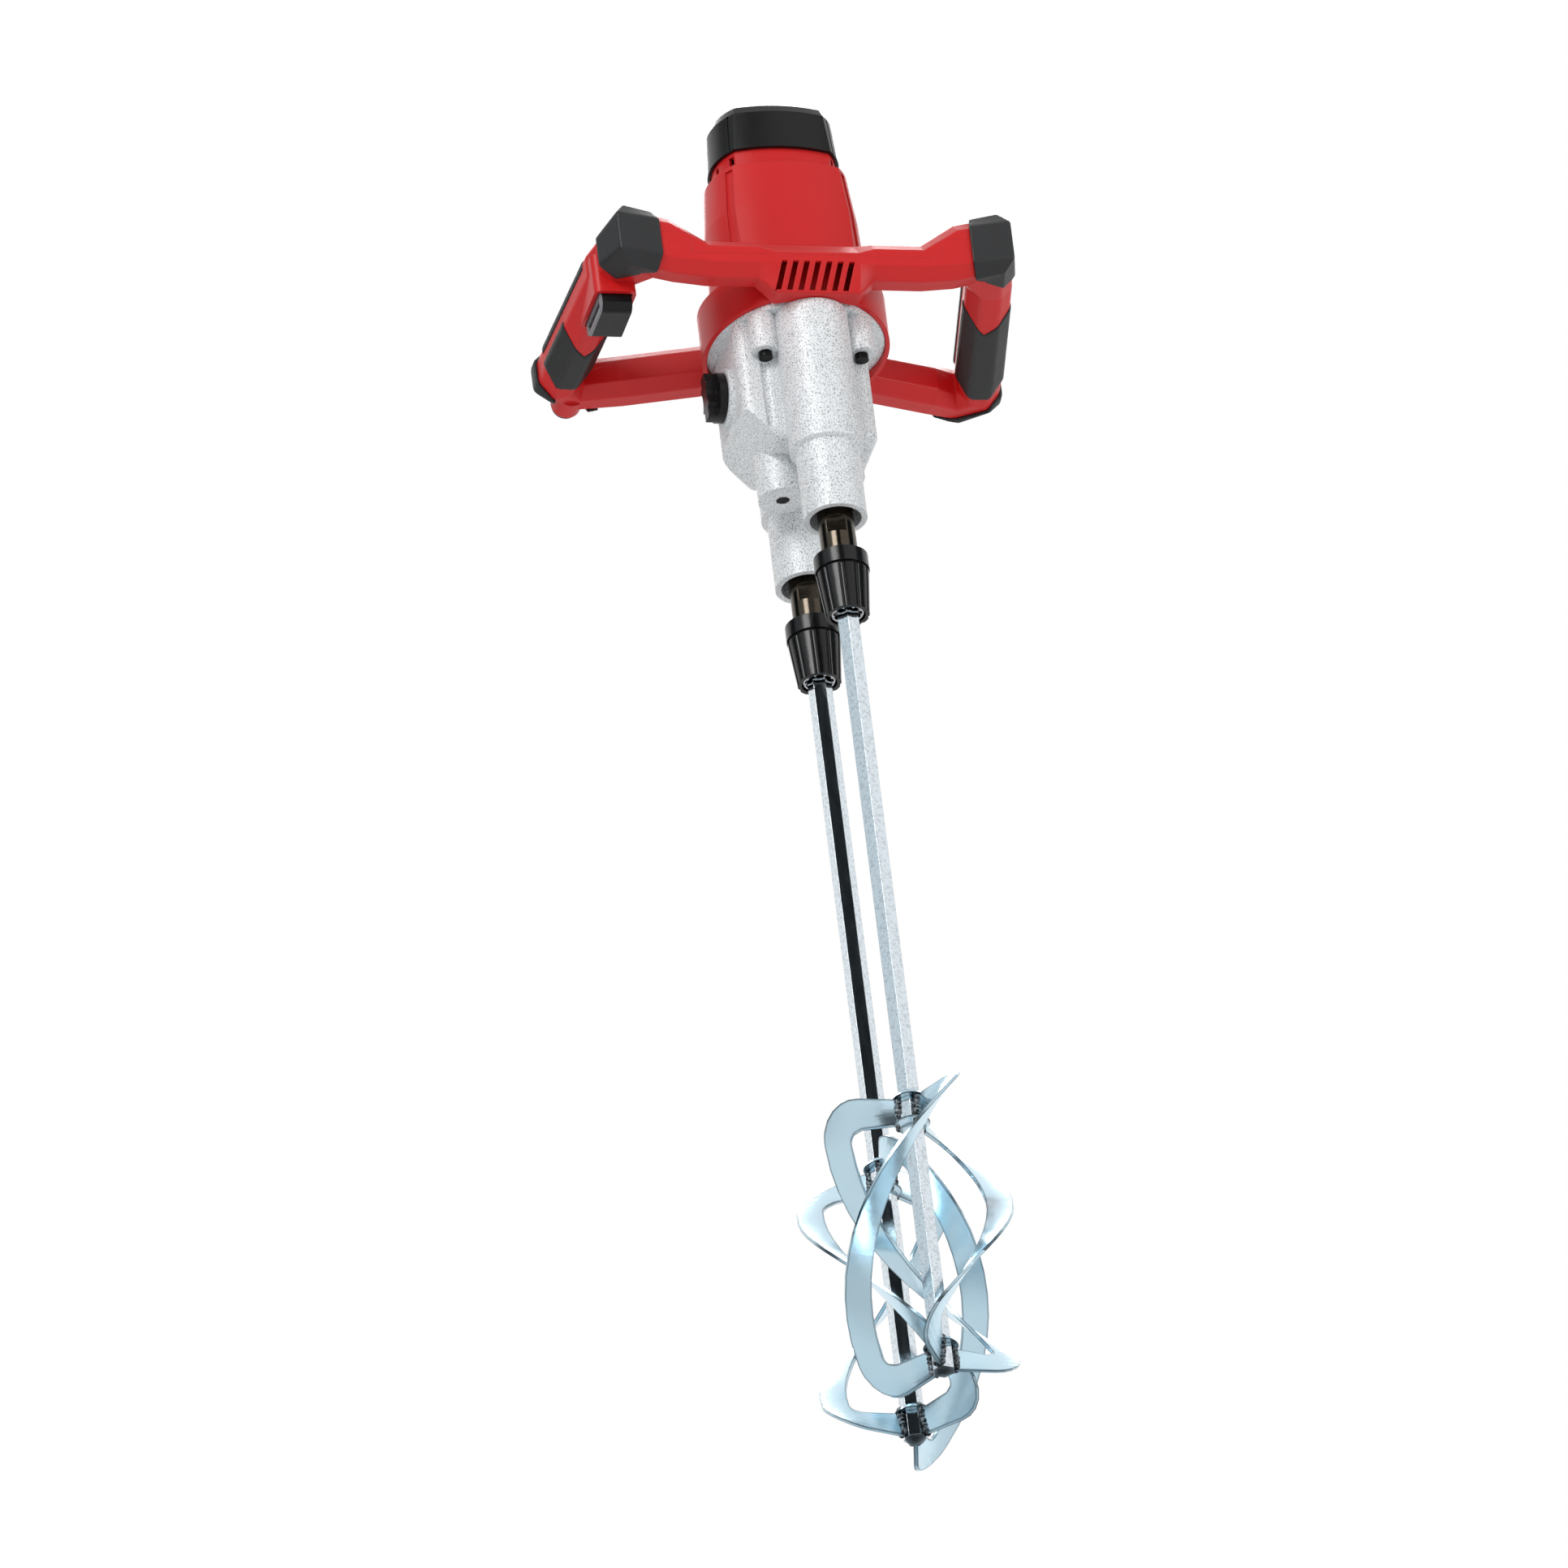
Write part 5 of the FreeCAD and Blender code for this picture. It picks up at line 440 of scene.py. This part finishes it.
FINISHES = {
    "red_moulding": dict(
        paint="red", dark_share=0.92, light_share=1.06,
        tone=dict(size=0.05, detail=3.0),
        grain=dict(size=0.0006, detail=2.0), depth=0.00004, edge=SOFT_EDGE,
        dullness=0.34, dullness_span=0.12,
        even={"Specular IOR Level": 0.4},
    ),
    "black_moulding": dict(
        paint="black", dark_share=0.8, light_share=1.2,
        tone=dict(size=0.02, detail=3.0),
        grain=dict(size=0.0005, detail=2.0), depth=0.00005, edge=SOFT_EDGE,
        dullness=0.24, dullness_span=0.15,
        even={"Specular IOR Level": 0.28},
    ),
    "grey_moulding": dict(
        paint="grey", dark_share=0.85, light_share=1.1,
        tone=dict(size=0.012, detail=3.0),
        grain=dict(size=0.0005, detail=2.0), depth=0.00006, edge=SOFT_EDGE,
        dullness=0.35, dullness_span=0.15,
        even={},
    ),
    "grip_rubber": dict(
        paint="rubber", dark_share=0.75, light_share=1.3,
        tone=dict(size=0.015, detail=3.0),
        grain=dict(size=0.0011), depth=0.0001, edge=SOFT_EDGE,
        dullness=0.36, dullness_span=0.2,
        even={"Specular IOR Level": 0.45},
    ),
    "silver_casting": dict(
        paint="casting", dark_share=0.93, light_share=1.05,
        tone=dict(size=0.03, detail=2.0),
        spots=dict(size=0.0008, detail=3.0, rough=0.6, stretch=(1.0, 1.0, 0.7)),
        spot_paint="fleck", spot_share=1.0, spot_stops=[(0.50, 0.0), (0.62, 0.9)],
        grain=dict(size=0.0013, detail=3.0, rough=0.6), depth=0.00014, edge=SOFT_EDGE,
        dullness=0.40, dullness_span=0.16,
        even={"Metallic": 0.12},
    ),
    "sleeve_black": dict(
        paint="sleeve", dark_share=0.6, light_share=1.5,
        tone=dict(size=0.0012, detail=3.0, rough=0.6, stretch=(1.0, 1.0, 0.3)),
        grain=dict(size=0.0012, detail=3.0, rough=0.6, stretch=(1.0, 1.0, 0.3)),
        depth=0.00005, edge=FINE_EDGE,
        dullness=0.14, dullness_span=0.16,
        even={"Specular IOR Level": 0.36},
    ),
    "dark_oxide": dict(
        paint="oxide", dark_share=0.5, light_share=1.3,
        tone=dict(size=0.004, detail=2.0, stretch=(1.0, 1.0, 8.0)),
        grain=dict(size=0.0008, detail=1.0, stretch=(0.02, 0.02, 1.0)), depth=0.00002, edge=FINE_EDGE,
        dullness=0.10, dullness_span=0.12,
        even={"Metallic": 1.0},
    ),
    "rod_zinc": dict(
        paint="rod", dark_share=0.98, light_share=1.02,
        tone=dict(size=0.003, detail=3.0, rough=0.6, stretch=(1.0, 1.0, 0.12)),
        spots=dict(size=0.0024, detail=4.0, rough=0.7),
        spot_paint="rod", spot_share=0.4, spot_stops=[(0.48, 0.0), (0.62, 0.4)],
        grain=dict(size=0.0024, detail=4.0, rough=0.7), depth=0.00004, edge=FINE_EDGE,
        dullness=0.03, dullness_span=0.09,
        even={"Metallic": 1.0},
    ),
    "blade_zinc": dict(
        paint="blade", dark_share=0.9, light_share=1.08,
        tone=dict(size=0.03, detail=3.0),
        grain=dict(size=0.0012, detail=3.0, rough=0.6), depth=0.00002, edge=FINE_EDGE,
        # Painted reflection: a dark rim of the blade edge paint along the rounded edges, in place of the
        # dark reflection that the sharp edges show
        rim=0.0022, rim_paint="edge",
        dullness=0.16, dullness_span=0.14,
        even={"Metallic": 1.0},
    ),
    "weld_metal": dict(
        paint="weld", dark_share=0.06, light_share=0.06,
        tone=dict(size=0.0022, detail=4.0, rough=0.65),
        spots=dict(size=0.0022, detail=4.0, rough=0.65),
        spot_paint="weld", spot_share=1.0, spot_stops=[(0.44, 0.0), (0.56, 1.0)],
        grain=dict(size=0.0022, detail=4.0, rough=0.65), depth=0.0007, edge=FINE_EDGE,
        dullness=0.16, dullness_span=0.25,
        even={"Metallic": 0.9},
    ),
    "plain_steel": dict(
        paint="steel", dark_share=0.8, light_share=1.1,
        tone=dict(size=0.002, detail=3.0, stretch=(1.0, 1.0, 0.2)),
        grain=dict(size=0.001, detail=2.0), depth=0.00002, edge=FINE_EDGE,
        dullness=0.22, dullness_span=0.2,
        even={"Metallic": 1.0},
    ),
    "copper_wire": dict(
        paint="copper", dark_share=0.7, light_share=1.1,
        tone=dict(size=0.0015, detail=2.0, stretch=(1.0, 1.0, 6.0)),
        grain=dict(size=0.0015, detail=2.0, stretch=(1.0, 1.0, 6.0)), depth=0.00008, edge=FINE_EDGE,
        dullness=0.3, dullness_span=0.2,
        even={"Metallic": 0.9},
    ),
    "bright_chrome": dict(
        paint="chrome", dark_share=0.6, light_share=1.0,
        tone=dict(size=0.0012, detail=3.0),
        grain=dict(size=0.0012, detail=3.0), depth=0.00005, edge=FINE_EDGE,
        dullness=0.06, dullness_span=0.12,
        even={"Metallic": 1.0},
    ),
    "black_steel": dict(
        paint="black", dark_share=0.4, light_share=1.6,
        tone=dict(size=0.0016, detail=3.0),
        grain=dict(size=0.0008, detail=2.0), depth=0.00003, edge=FINE_EDGE,
        dullness=0.25, dullness_span=0.2,
        even={"Metallic": 0.7},
    ),
}


def lighter(shade, by_share):
    return tuple(min(1.0, level * by_share) for level in shade)


def new_finish(name):
    return Finish(bpy.data.materials.new(name))


def make_finish(name):
    """Builds one of the finishes.

    The tone is the broad pattern between the dark and the light share of the paint. The grain is the
    fine one, which stands out by the depth. Spots are small marks, and a rim is a painted reflection: a
    dark paint along the rounded edges that stands in for the dark reflection that sharp edges show.
    """
    paints = bpy.context.scene.mixer_colours
    look = FINISHES[name]
    paint_shade = getattr(paints, look["paint"])
    finish = new_finish(name)
    tone = finish.pattern(**look["tone"])
    dark = lighter(paint_shade, look["dark_share"])
    light = lighter(paint_shade, look["light_share"])
    shade = finish.mix(tone, dark, light)
    if "spots" in look:
        spots = finish.ramp(finish.pattern(**look["spots"]), look["spot_stops"])
        shade = finish.mix(spots, shade, lighter(getattr(paints, look["spot_paint"]), look["spot_share"]))
    # Painted reflection: the rim lays dark edge paint along rounded edges, standing in for the dark
    # reflection that sharp edges show
    if "rim" in look:
        shade = finish.mix(finish.edges(look["rim"]), shade, getattr(paints, look["rim_paint"]))
    sockets = {
        "Base Color": shade,
        "Roughness": look["dullness"] + look["dullness_span"] * tone,
        "Normal": finish.bump(finish.pattern(**look["grain"]), look["depth"], look["edge"]),
    }
    sockets.update(look["even"])
    return finish.close(finish.node("ShaderNodeBsdfPrincipled", {}, sockets))


def finish_named(name):
    """A finish by its name, made when it is first asked for."""
    return bpy.data.materials.get(name) or make_finish(name)


def paint(names, finish_name):
    """Gives nodes of the frame a finish."""
    material = finish_named(finish_name)
    for name in names:
        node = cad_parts[name]
        if not node.material_slots:
            node.data.materials.append(material)
        for holder in node.material_slots:
            holder.material = material


# Pieces that dress the frame

def add_piece(name, mesh, body, nodes=()):
    for face in mesh.polygons:
        face.use_smooth = True
    piece = bpy.data.objects.new(name, mesh)
    bpy.context.scene.collection.objects.link(piece)
    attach(piece, body)
    if nodes:
        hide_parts(*nodes)


def merged_copy(node_name, name):
    """A node's mesh with its loose triangles joined."""
    work = bmesh.new()
    work.from_mesh(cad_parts[node_name].data)
    bmesh.ops.remove_doubles(work, verts=work.verts, dist=MERGE_DISTANCE)
    mesh = bpy.data.meshes.new(name)
    work.to_mesh(mesh)
    work.free()
    return mesh


def softened(node_name, name, rubber, material):
    """A finer copy of a rubber node, with softened corners."""
    holder = bpy.data.objects.new(name, merged_copy(node_name, name))
    bpy.context.scene.collection.objects.link(holder)
    voxels = holder.modifiers.new("voxels", "REMESH")
    voxels.mode = "VOXEL"
    voxels.voxel_size = rubber.voxel
    smooth = holder.modifiers.new("smooth", "SMOOTH")
    smooth.factor = rubber.smooth_share
    smooth.iterations = rubber.smooth_steps
    mesh = plain_mesh(holder)
    bpy.data.objects.remove(holder)
    mesh.materials.clear()
    mesh.materials.append(material)
    return mesh


# Beads lie in a row at each side of an arm, and arms are at both ends of a paddle
BEAD_ROWS = 2
ROW_SPAN = 2
PADDLE_ENDS = 2


def weld_beads(side, weld, material):
    """Two rows of beads down each arm end, at the top and the bottom of a paddle."""
    beads = Growth("weld_beads", {
        "Beads per arm": weld.beads,
        "Bead size": weld.bead,
        "Root radius": weld.root,
        "Arm height": weld.arm,
        "Paddle height": weld.height,
        "Paddle top": weld.top,
        "Start angle": getattr(weld, side + "_angle"),
        "Twist": SIDES[side] * weld.twist,
        "Axis": SIDES[side] * weld.axis,
        "Spread": weld.spread,
        "Lumps": weld.lumps,
    })
    per_arm = beads.size("Beads per arm")
    index = beads.node("GeometryNodeInputIndex")
    end = (index / (per_arm * weld.arms)).floor()
    arm = (index % (per_arm * weld.arms) / per_arm).floor()
    step = index % per_arm
    part_way = (step / BEAD_ROWS).floor() / (per_arm / BEAD_ROWS - 1)
    lean = (step % BEAD_ROWS) * ROW_SPAN - 1
    arm_height = beads.size("Arm height")
    depth = end * (beads.size("Paddle height") - arm_height) + part_way * arm_height
    turn = beads.size("Start angle") + arm * (math.tau / weld.arms)
    turn = turn + beads.size("Twist") * depth / beads.size("Paddle height") + lean * beads.size("Spread")
    place = beads.node("ShaderNodeCombineXYZ", {}, {
        "X": beads.size("Root radius") * turn.cosine(),
        "Y": beads.size("Axis") + beads.size("Root radius") * turn.sine(),
        "Z": beads.size("Paddle top") - depth,
    })
    points = beads.node("GeometryNodePoints", {}, {
        "Count": per_arm * (PADDLE_ENDS * weld.arms), "Position": place,
    })
    bead = beads.node("GeometryNodeMeshIcoSphere", {}, {
        "Radius": beads.size("Bead size"), "Subdivisions": weld.fineness,
    })
    scale = beads.node("FunctionNodeRandomValue", {"data_type": "FLOAT_VECTOR"}, {
        FIRST: weld.small_shares, SECOND: weld.large_shares, "Seed": weld.seed,
    })
    placed = beads.node("GeometryNodeInstanceOnPoints", {}, {
        "Points": points, "Instance": bead, "Scale": scale,
    })
    whole = beads.node("GeometryNodeRealizeInstances", {}, {"Geometry": placed})
    lump = beads.node("ShaderNodeTexNoise", {}, {"Scale": 1 / weld.lump_size, "Detail": weld.lump_detail})
    normal = beads.node("GeometryNodeInputNormal")
    push = beads.node("ShaderNodeVectorMath", {"operation": "SCALE"}, {
        FIRST: normal, "Scale": lump * beads.size("Lumps"),
    })
    lumpy = beads.node("GeometryNodeSetPosition", {}, {"Geometry": whole, "Offset": push})
    beads.close(lumpy, material)
    return beads.mesh(side + "_weld_beads")


def coupling_ring(side, coupling, material):
    """A bright ring with a circle of balls in the mouth of one coupling."""
    ring = Growth("coupling_ring", {
        "Ring radius": coupling.ring,
        "Ring thickness": coupling.thick,
        "Balls": coupling.balls,
        "Ball size": coupling.ball,
        "Ball circle": coupling.ball_ring,
        "Height": coupling.height,
        "Axis": SIDES[side] * coupling.axis,
    })
    middle = ring.node("ShaderNodeCombineXYZ", {}, {"Y": ring.size("Axis"), "Z": ring.size("Height")})
    path = ring.node("GeometryNodeCurvePrimitiveCircle", {}, {
        "Resolution": coupling.steps, "Radius": ring.size("Ring radius"),
    })
    section = ring.node("GeometryNodeCurvePrimitiveCircle", {}, {
        "Resolution": coupling.section_steps, "Radius": ring.size("Ring thickness"),
    })
    band = ring.node("GeometryNodeCurveToMesh", {}, {"Curve": path, "Profile Curve": section})
    circle = ring.node("GeometryNodeCurvePrimitiveCircle", {}, {
        "Resolution": ring.size("Balls"), "Radius": ring.size("Ball circle"),
    })
    ball = ring.node("GeometryNodeMeshIcoSphere", {}, {
        "Radius": ring.size("Ball size"), "Subdivisions": coupling.fineness,
    })
    spots = ring.node("GeometryNodeCurveToPoints", {"mode": "EVALUATED"}, {"Curve": circle})
    balls = ring.node("GeometryNodeInstanceOnPoints", {}, {"Points": spots, "Instance": ball})
    joined = ring.node("GeometryNodeJoinGeometry", {}, {"Geometry": [balls, band]})
    moved = ring.node("GeometryNodeTransform", {}, {"Geometry": joined, "Translation": middle})
    ring.close(moved, material)
    return ring.mesh(side + "_coupling_ring")


class MIXER_OT_mouldings(bpy.types.Operator):
    """Finish the red and black mouldings"""

    bl_idname = "mixer.mouldings"
    bl_label = "Mouldings"

    def execute(self, context):
        paint(("motor_housing", "frame_upper_shell", "frame_lower_shell"), "red_moulding")
        paint(("motor_cap", "selector_knob", "trigger", "lock_button"), "black_moulding")
        paint(("brush_bridge", "brush_holders", "cooling_fan", "switch_body"), "black_moulding")
        paint(("trigger_plate",), "grey_moulding")
        return {"FINISHED"}


class MIXER_OT_rubber(bpy.types.Operator):
    """Finish the grip pads, the bumpers and the cord gland"""

    bl_idname = "mixer.rubber"
    bl_label = "Rubber"

    def execute(self, context):
        names = [
            "left_grip_pads", "right_grip_pads", "left_front_bumper", "right_front_bumper", "rear_bumpers",
        ]
        paint(names + ["cord_gland", "shaft_seals"], "grip_rubber")
        for node_name in names:
            name = node_name + "_soft"
            mesh = softened(node_name, name, context.scene.mixer_rubber, finish_named("grip_rubber"))
            add_piece(name, mesh, "drill", (node_name,))
        return {"FINISHED"}


class MIXER_OT_casting(bpy.types.Operator):
    """Finish the gear housing and its screws"""

    bl_idname = "mixer.casting"
    bl_label = "Casting"

    def execute(self, context):
        paint(("gear_housing", "bearing_plate"), "silver_casting")
        paint(("gear_housing_screws", "case_screws"), "black_steel")
        return {"FINISHED"}


class MIXER_OT_couplings(bpy.types.Operator):
    """Finish the spindles and the coupling sleeves"""

    bl_idname = "mixer.couplings"
    bl_label = "Couplings"

    def execute(self, context):
        paint(("front_spindle", "rear_spindle"), "dark_oxide")
        paint(("front_coupling_sleeve", "rear_coupling_sleeve"), "sleeve_black")
        for side in SIDES:
            mesh = coupling_ring(side, context.scene.mixer_coupling, finish_named("bright_chrome"))
            add_piece(side + "_coupling_ring", mesh, side + "_mixer")
        return {"FINISHED"}


class MIXER_OT_paddles(bpy.types.Operator):
    """Finish the rods and the paddles"""

    bl_idname = "mixer.paddles"
    bl_label = "Paddles"

    def execute(self, context):
        paint(("front_rod", "rear_rod"), "rod_zinc")
        paint(("front_paddle", "rear_paddle"), "blade_zinc")
        for side in SIDES:
            mesh = weld_beads(side, context.scene.mixer_weld, finish_named("weld_metal"))
            add_piece(side + "_weld_beads", mesh, side + "_mixer")
        return {"FINISHED"}


class MIXER_OT_inside(bpy.types.Operator):
    """Finish the motor and the gears inside"""

    bl_idname = "mixer.inside"
    bl_label = "Inside"

    def execute(self, context):
        steel = [
            "gear_bridge", "gearbox_pins", "spindle_bearings", "motor_bearings", "stator_core",
            "armature_core", "armature_shaft", "motor_pinion", "layshaft", "layshaft_gear",
            "layshaft_pinions", "centre_shaft", "low_gear", "high_gear", "drive_gear", "shift_sleeve",
            "shift_fork", "idler_gear", "front_spindle_gear", "rear_spindle_gear", "trigger_pin",
            "brush_springs", "front_coupling_spring", "rear_coupling_spring",
        ]
        paint(steel, "plain_steel")
        paint(("field_coils", "armature_windings", "commutator"), "copper_wire")
        paint(("carbon_brushes",), "black_steel")
        return {"FINISHED"}


# Studio

WHITE = (1, 1, 1, OPAQUE)
FULL_STRENGTH = 1
FLOOR_CLOUD = 0.4
FLOOR_DARK_SHARE = 0.98
CARD_CLOUD = 0.5
CARD_DARK_SHARE = 0.7
CLOUD_DETAIL = 2.0
SPACE_AXES = 3


def camera_axes(studio):
    """Right, up and back as the leaning camera has them."""
    turn = studio.azimuth
    rise = studio.elevation
    back = Vector((
        math.sin(turn) * math.cos(rise),
        -math.cos(turn) * math.cos(rise),
        math.sin(rise),
    ))
    right = Vector((math.cos(turn), math.sin(turn), 0))
    lean = Matrix.Rotation(studio.roll, SPACE_AXES, back)
    return lean @ right, lean @ back.cross(right), back


def set_camera(studio):
    right, up, back = camera_axes(studio)
    data = bpy.data.cameras.new("photo_camera")
    data.type = "ORTHO"
    data.ortho_scale = studio.width
    camera = bpy.data.objects.new("photo_camera", data)
    place = Vector(studio.middle) + back * studio.distance
    axes = Matrix((right, up, back)).transposed().to_4x4()
    camera.matrix_world = Matrix.Translation(place) @ axes
    bpy.context.scene.collection.objects.link(camera)
    bpy.context.scene.camera = camera


def aim_lamp(name, studio):
    data = bpy.data.lights.new(name, "AREA")
    data.energy = getattr(studio, name)
    data.size = getattr(studio, name + "_size")
    lamp = bpy.data.objects.new(name, data)
    place = Vector(getattr(studio, name + "_place"))
    turn = (place - Vector(studio.target)).to_track_quat("Z", "Y")
    lamp.matrix_world = Matrix.Translation(place) @ turn.to_matrix().to_4x4()
    bpy.context.scene.collection.objects.link(lamp)


def set_world(studio):
    """White where the camera, a reflection or glass sees it, and a dimmer even light elsewhere."""
    world = bpy.data.worlds.new("studio")
    light = Finish(world)
    camera = light.node("ShaderNodeLightPath", output="Is Camera Ray")
    glossy = light.node("ShaderNodeLightPath", output="Is Glossy Ray")
    passing = light.node("ShaderNodeLightPath", output="Is Transmission Ray")
    shown = light.node("ShaderNodeBackground", {}, {"Color": WHITE, "Strength": FULL_STRENGTH})
    even = light.node("ShaderNodeBackground", {}, {"Color": WHITE, "Strength": studio.ambient})
    choice = light.blend(camera + glossy + passing, even, shown)
    light.node("ShaderNodeOutputWorld", {}, {"Surface": choice})
    bpy.context.scene.world = world


def stage_sheet(name, corners, material):
    mesh = bpy.data.meshes.new(name)
    mesh.from_pydata(corners, [], [range(len(corners))])
    mesh.materials.append(material)
    sheet = bpy.data.objects.new(name, mesh)
    bpy.context.scene.collection.objects.link(sheet)
    return sheet


def card_finish(name, paint_shade):
    finish = new_finish(name)
    cloud = finish.pattern(CARD_CLOUD, CLOUD_DETAIL)
    shade = finish.mix(cloud, lighter(paint_shade, CARD_DARK_SHARE), paint_shade)
    return finish.close(finish.node("ShaderNodeEmission", {}, {"Color": shade}))


def add_card(name, studio, turn, paint_shade):
    """A board beside or behind the camera, seen only in reflections."""
    toward = Vector((math.sin(turn), -math.cos(turn), 0))
    across = Vector((math.cos(turn), math.sin(turn), 0)) * (studio.card_width / 2)
    rise = Vector((0, 0, studio.card_height / 2))
    middle = toward * studio.card_distance
    left = middle - across
    right = middle + across
    corners = [left - rise, right - rise, right + rise, left + rise]
    card = stage_sheet(name, corners, card_finish(name, paint_shade))
    card.visible_camera = False
    card.visible_diffuse = False
    card.visible_transmission = False
    card.visible_shadow = False


def floor_finish(paints):
    """Pale from above and clear from below, so that a low camera sees through it."""
    finish = new_finish("studio_floor")
    cloud = finish.pattern(FLOOR_CLOUD, CLOUD_DETAIL)
    shade = finish.mix(cloud, lighter(paints.floor, FLOOR_DARK_SHARE), paints.floor)
    top = finish.node("ShaderNodeBsdfDiffuse", {}, {"Color": shade})
    clear = finish.node("ShaderNodeBsdfTransparent")
    below = finish.node("ShaderNodeNewGeometry", output="Backfacing")
    return finish.close(finish.blend(below, top, clear))


class MIXER_OT_stage(bpy.types.Operator):
    """Set the floor, the lamps and the camera"""

    bl_idname = "mixer.stage"
    bl_label = "Studio"

    def execute(self, context):
        studio = context.scene.mixer_studio
        paints = context.scene.mixer_colours
        half = studio.floor_half
        low_z = CAD_BOX[LOW_CORNER][UP_AXIS] - FLOOR_GAP
        corners = [(-half, -half, low_z), (half, -half, low_z), (half, half, low_z), (-half, half, low_z)]
        stage_sheet("floor", corners, floor_finish(paints))
        add_card("dark_card", studio, studio.azimuth, paints.card)
        add_card("side_card", studio, studio.azimuth + studio.side_turn, paints.side_card)
        add_card("left_edge_card", studio, studio.azimuth - studio.edge_turn, paints.edge_card)
        add_card("right_edge_card", studio, studio.azimuth + studio.edge_turn, paints.edge_card)
        for name in ("key", "fill", "rim"):
            aim_lamp(name, studio)
        set_world(studio)
        set_camera(studio)
        context.scene.view_settings.view_transform = "Standard"
        return {"FINISHED"}


class MIXER_PT_panel(bpy.types.Panel):
    """Lists the steps that dress the drill"""

    bl_label = "Mixing drill"
    bl_idname = "MIXER_PT_panel"
    bl_space_type = "VIEW_3D"
    bl_region_type = "UI"
    bl_category = "Mixing drill"

    def draw(self, context):
        for step in STEPS:
            self.layout.operator(step.bl_idname)


STEPS = (
    MIXER_OT_stage,
    MIXER_OT_mouldings,
    MIXER_OT_rubber,
    MIXER_OT_casting,
    MIXER_OT_couplings,
    MIXER_OT_paddles,
    MIXER_OT_inside,
)

GROUPS = {
    "mixer_colours": MixerColours,
    "mixer_studio": MixerStudio,
    "mixer_rubber": MixerRubber,
    "mixer_weld": MixerWeld,
    "mixer_coupling": MixerCoupling,
}
CLASSES = tuple(GROUPS.values()) + STEPS + (MIXER_PT_panel,)


def register():
    for made in CLASSES:
        bpy.utils.register_class(made)
    for name, made in GROUPS.items():
        setattr(bpy.types.Scene, name, PointerProperty(type=made))


def unregister():
    for name in GROUPS:
        delattr(bpy.types.Scene, name)
    for made in reversed(CLASSES):
        bpy.utils.unregister_class(made)


def main():
    register()
    for step in STEPS:
        group, name = step.bl_idname.split(".")
        getattr(getattr(bpy.ops, group), name)()


if __name__ == "__main__":
    main()
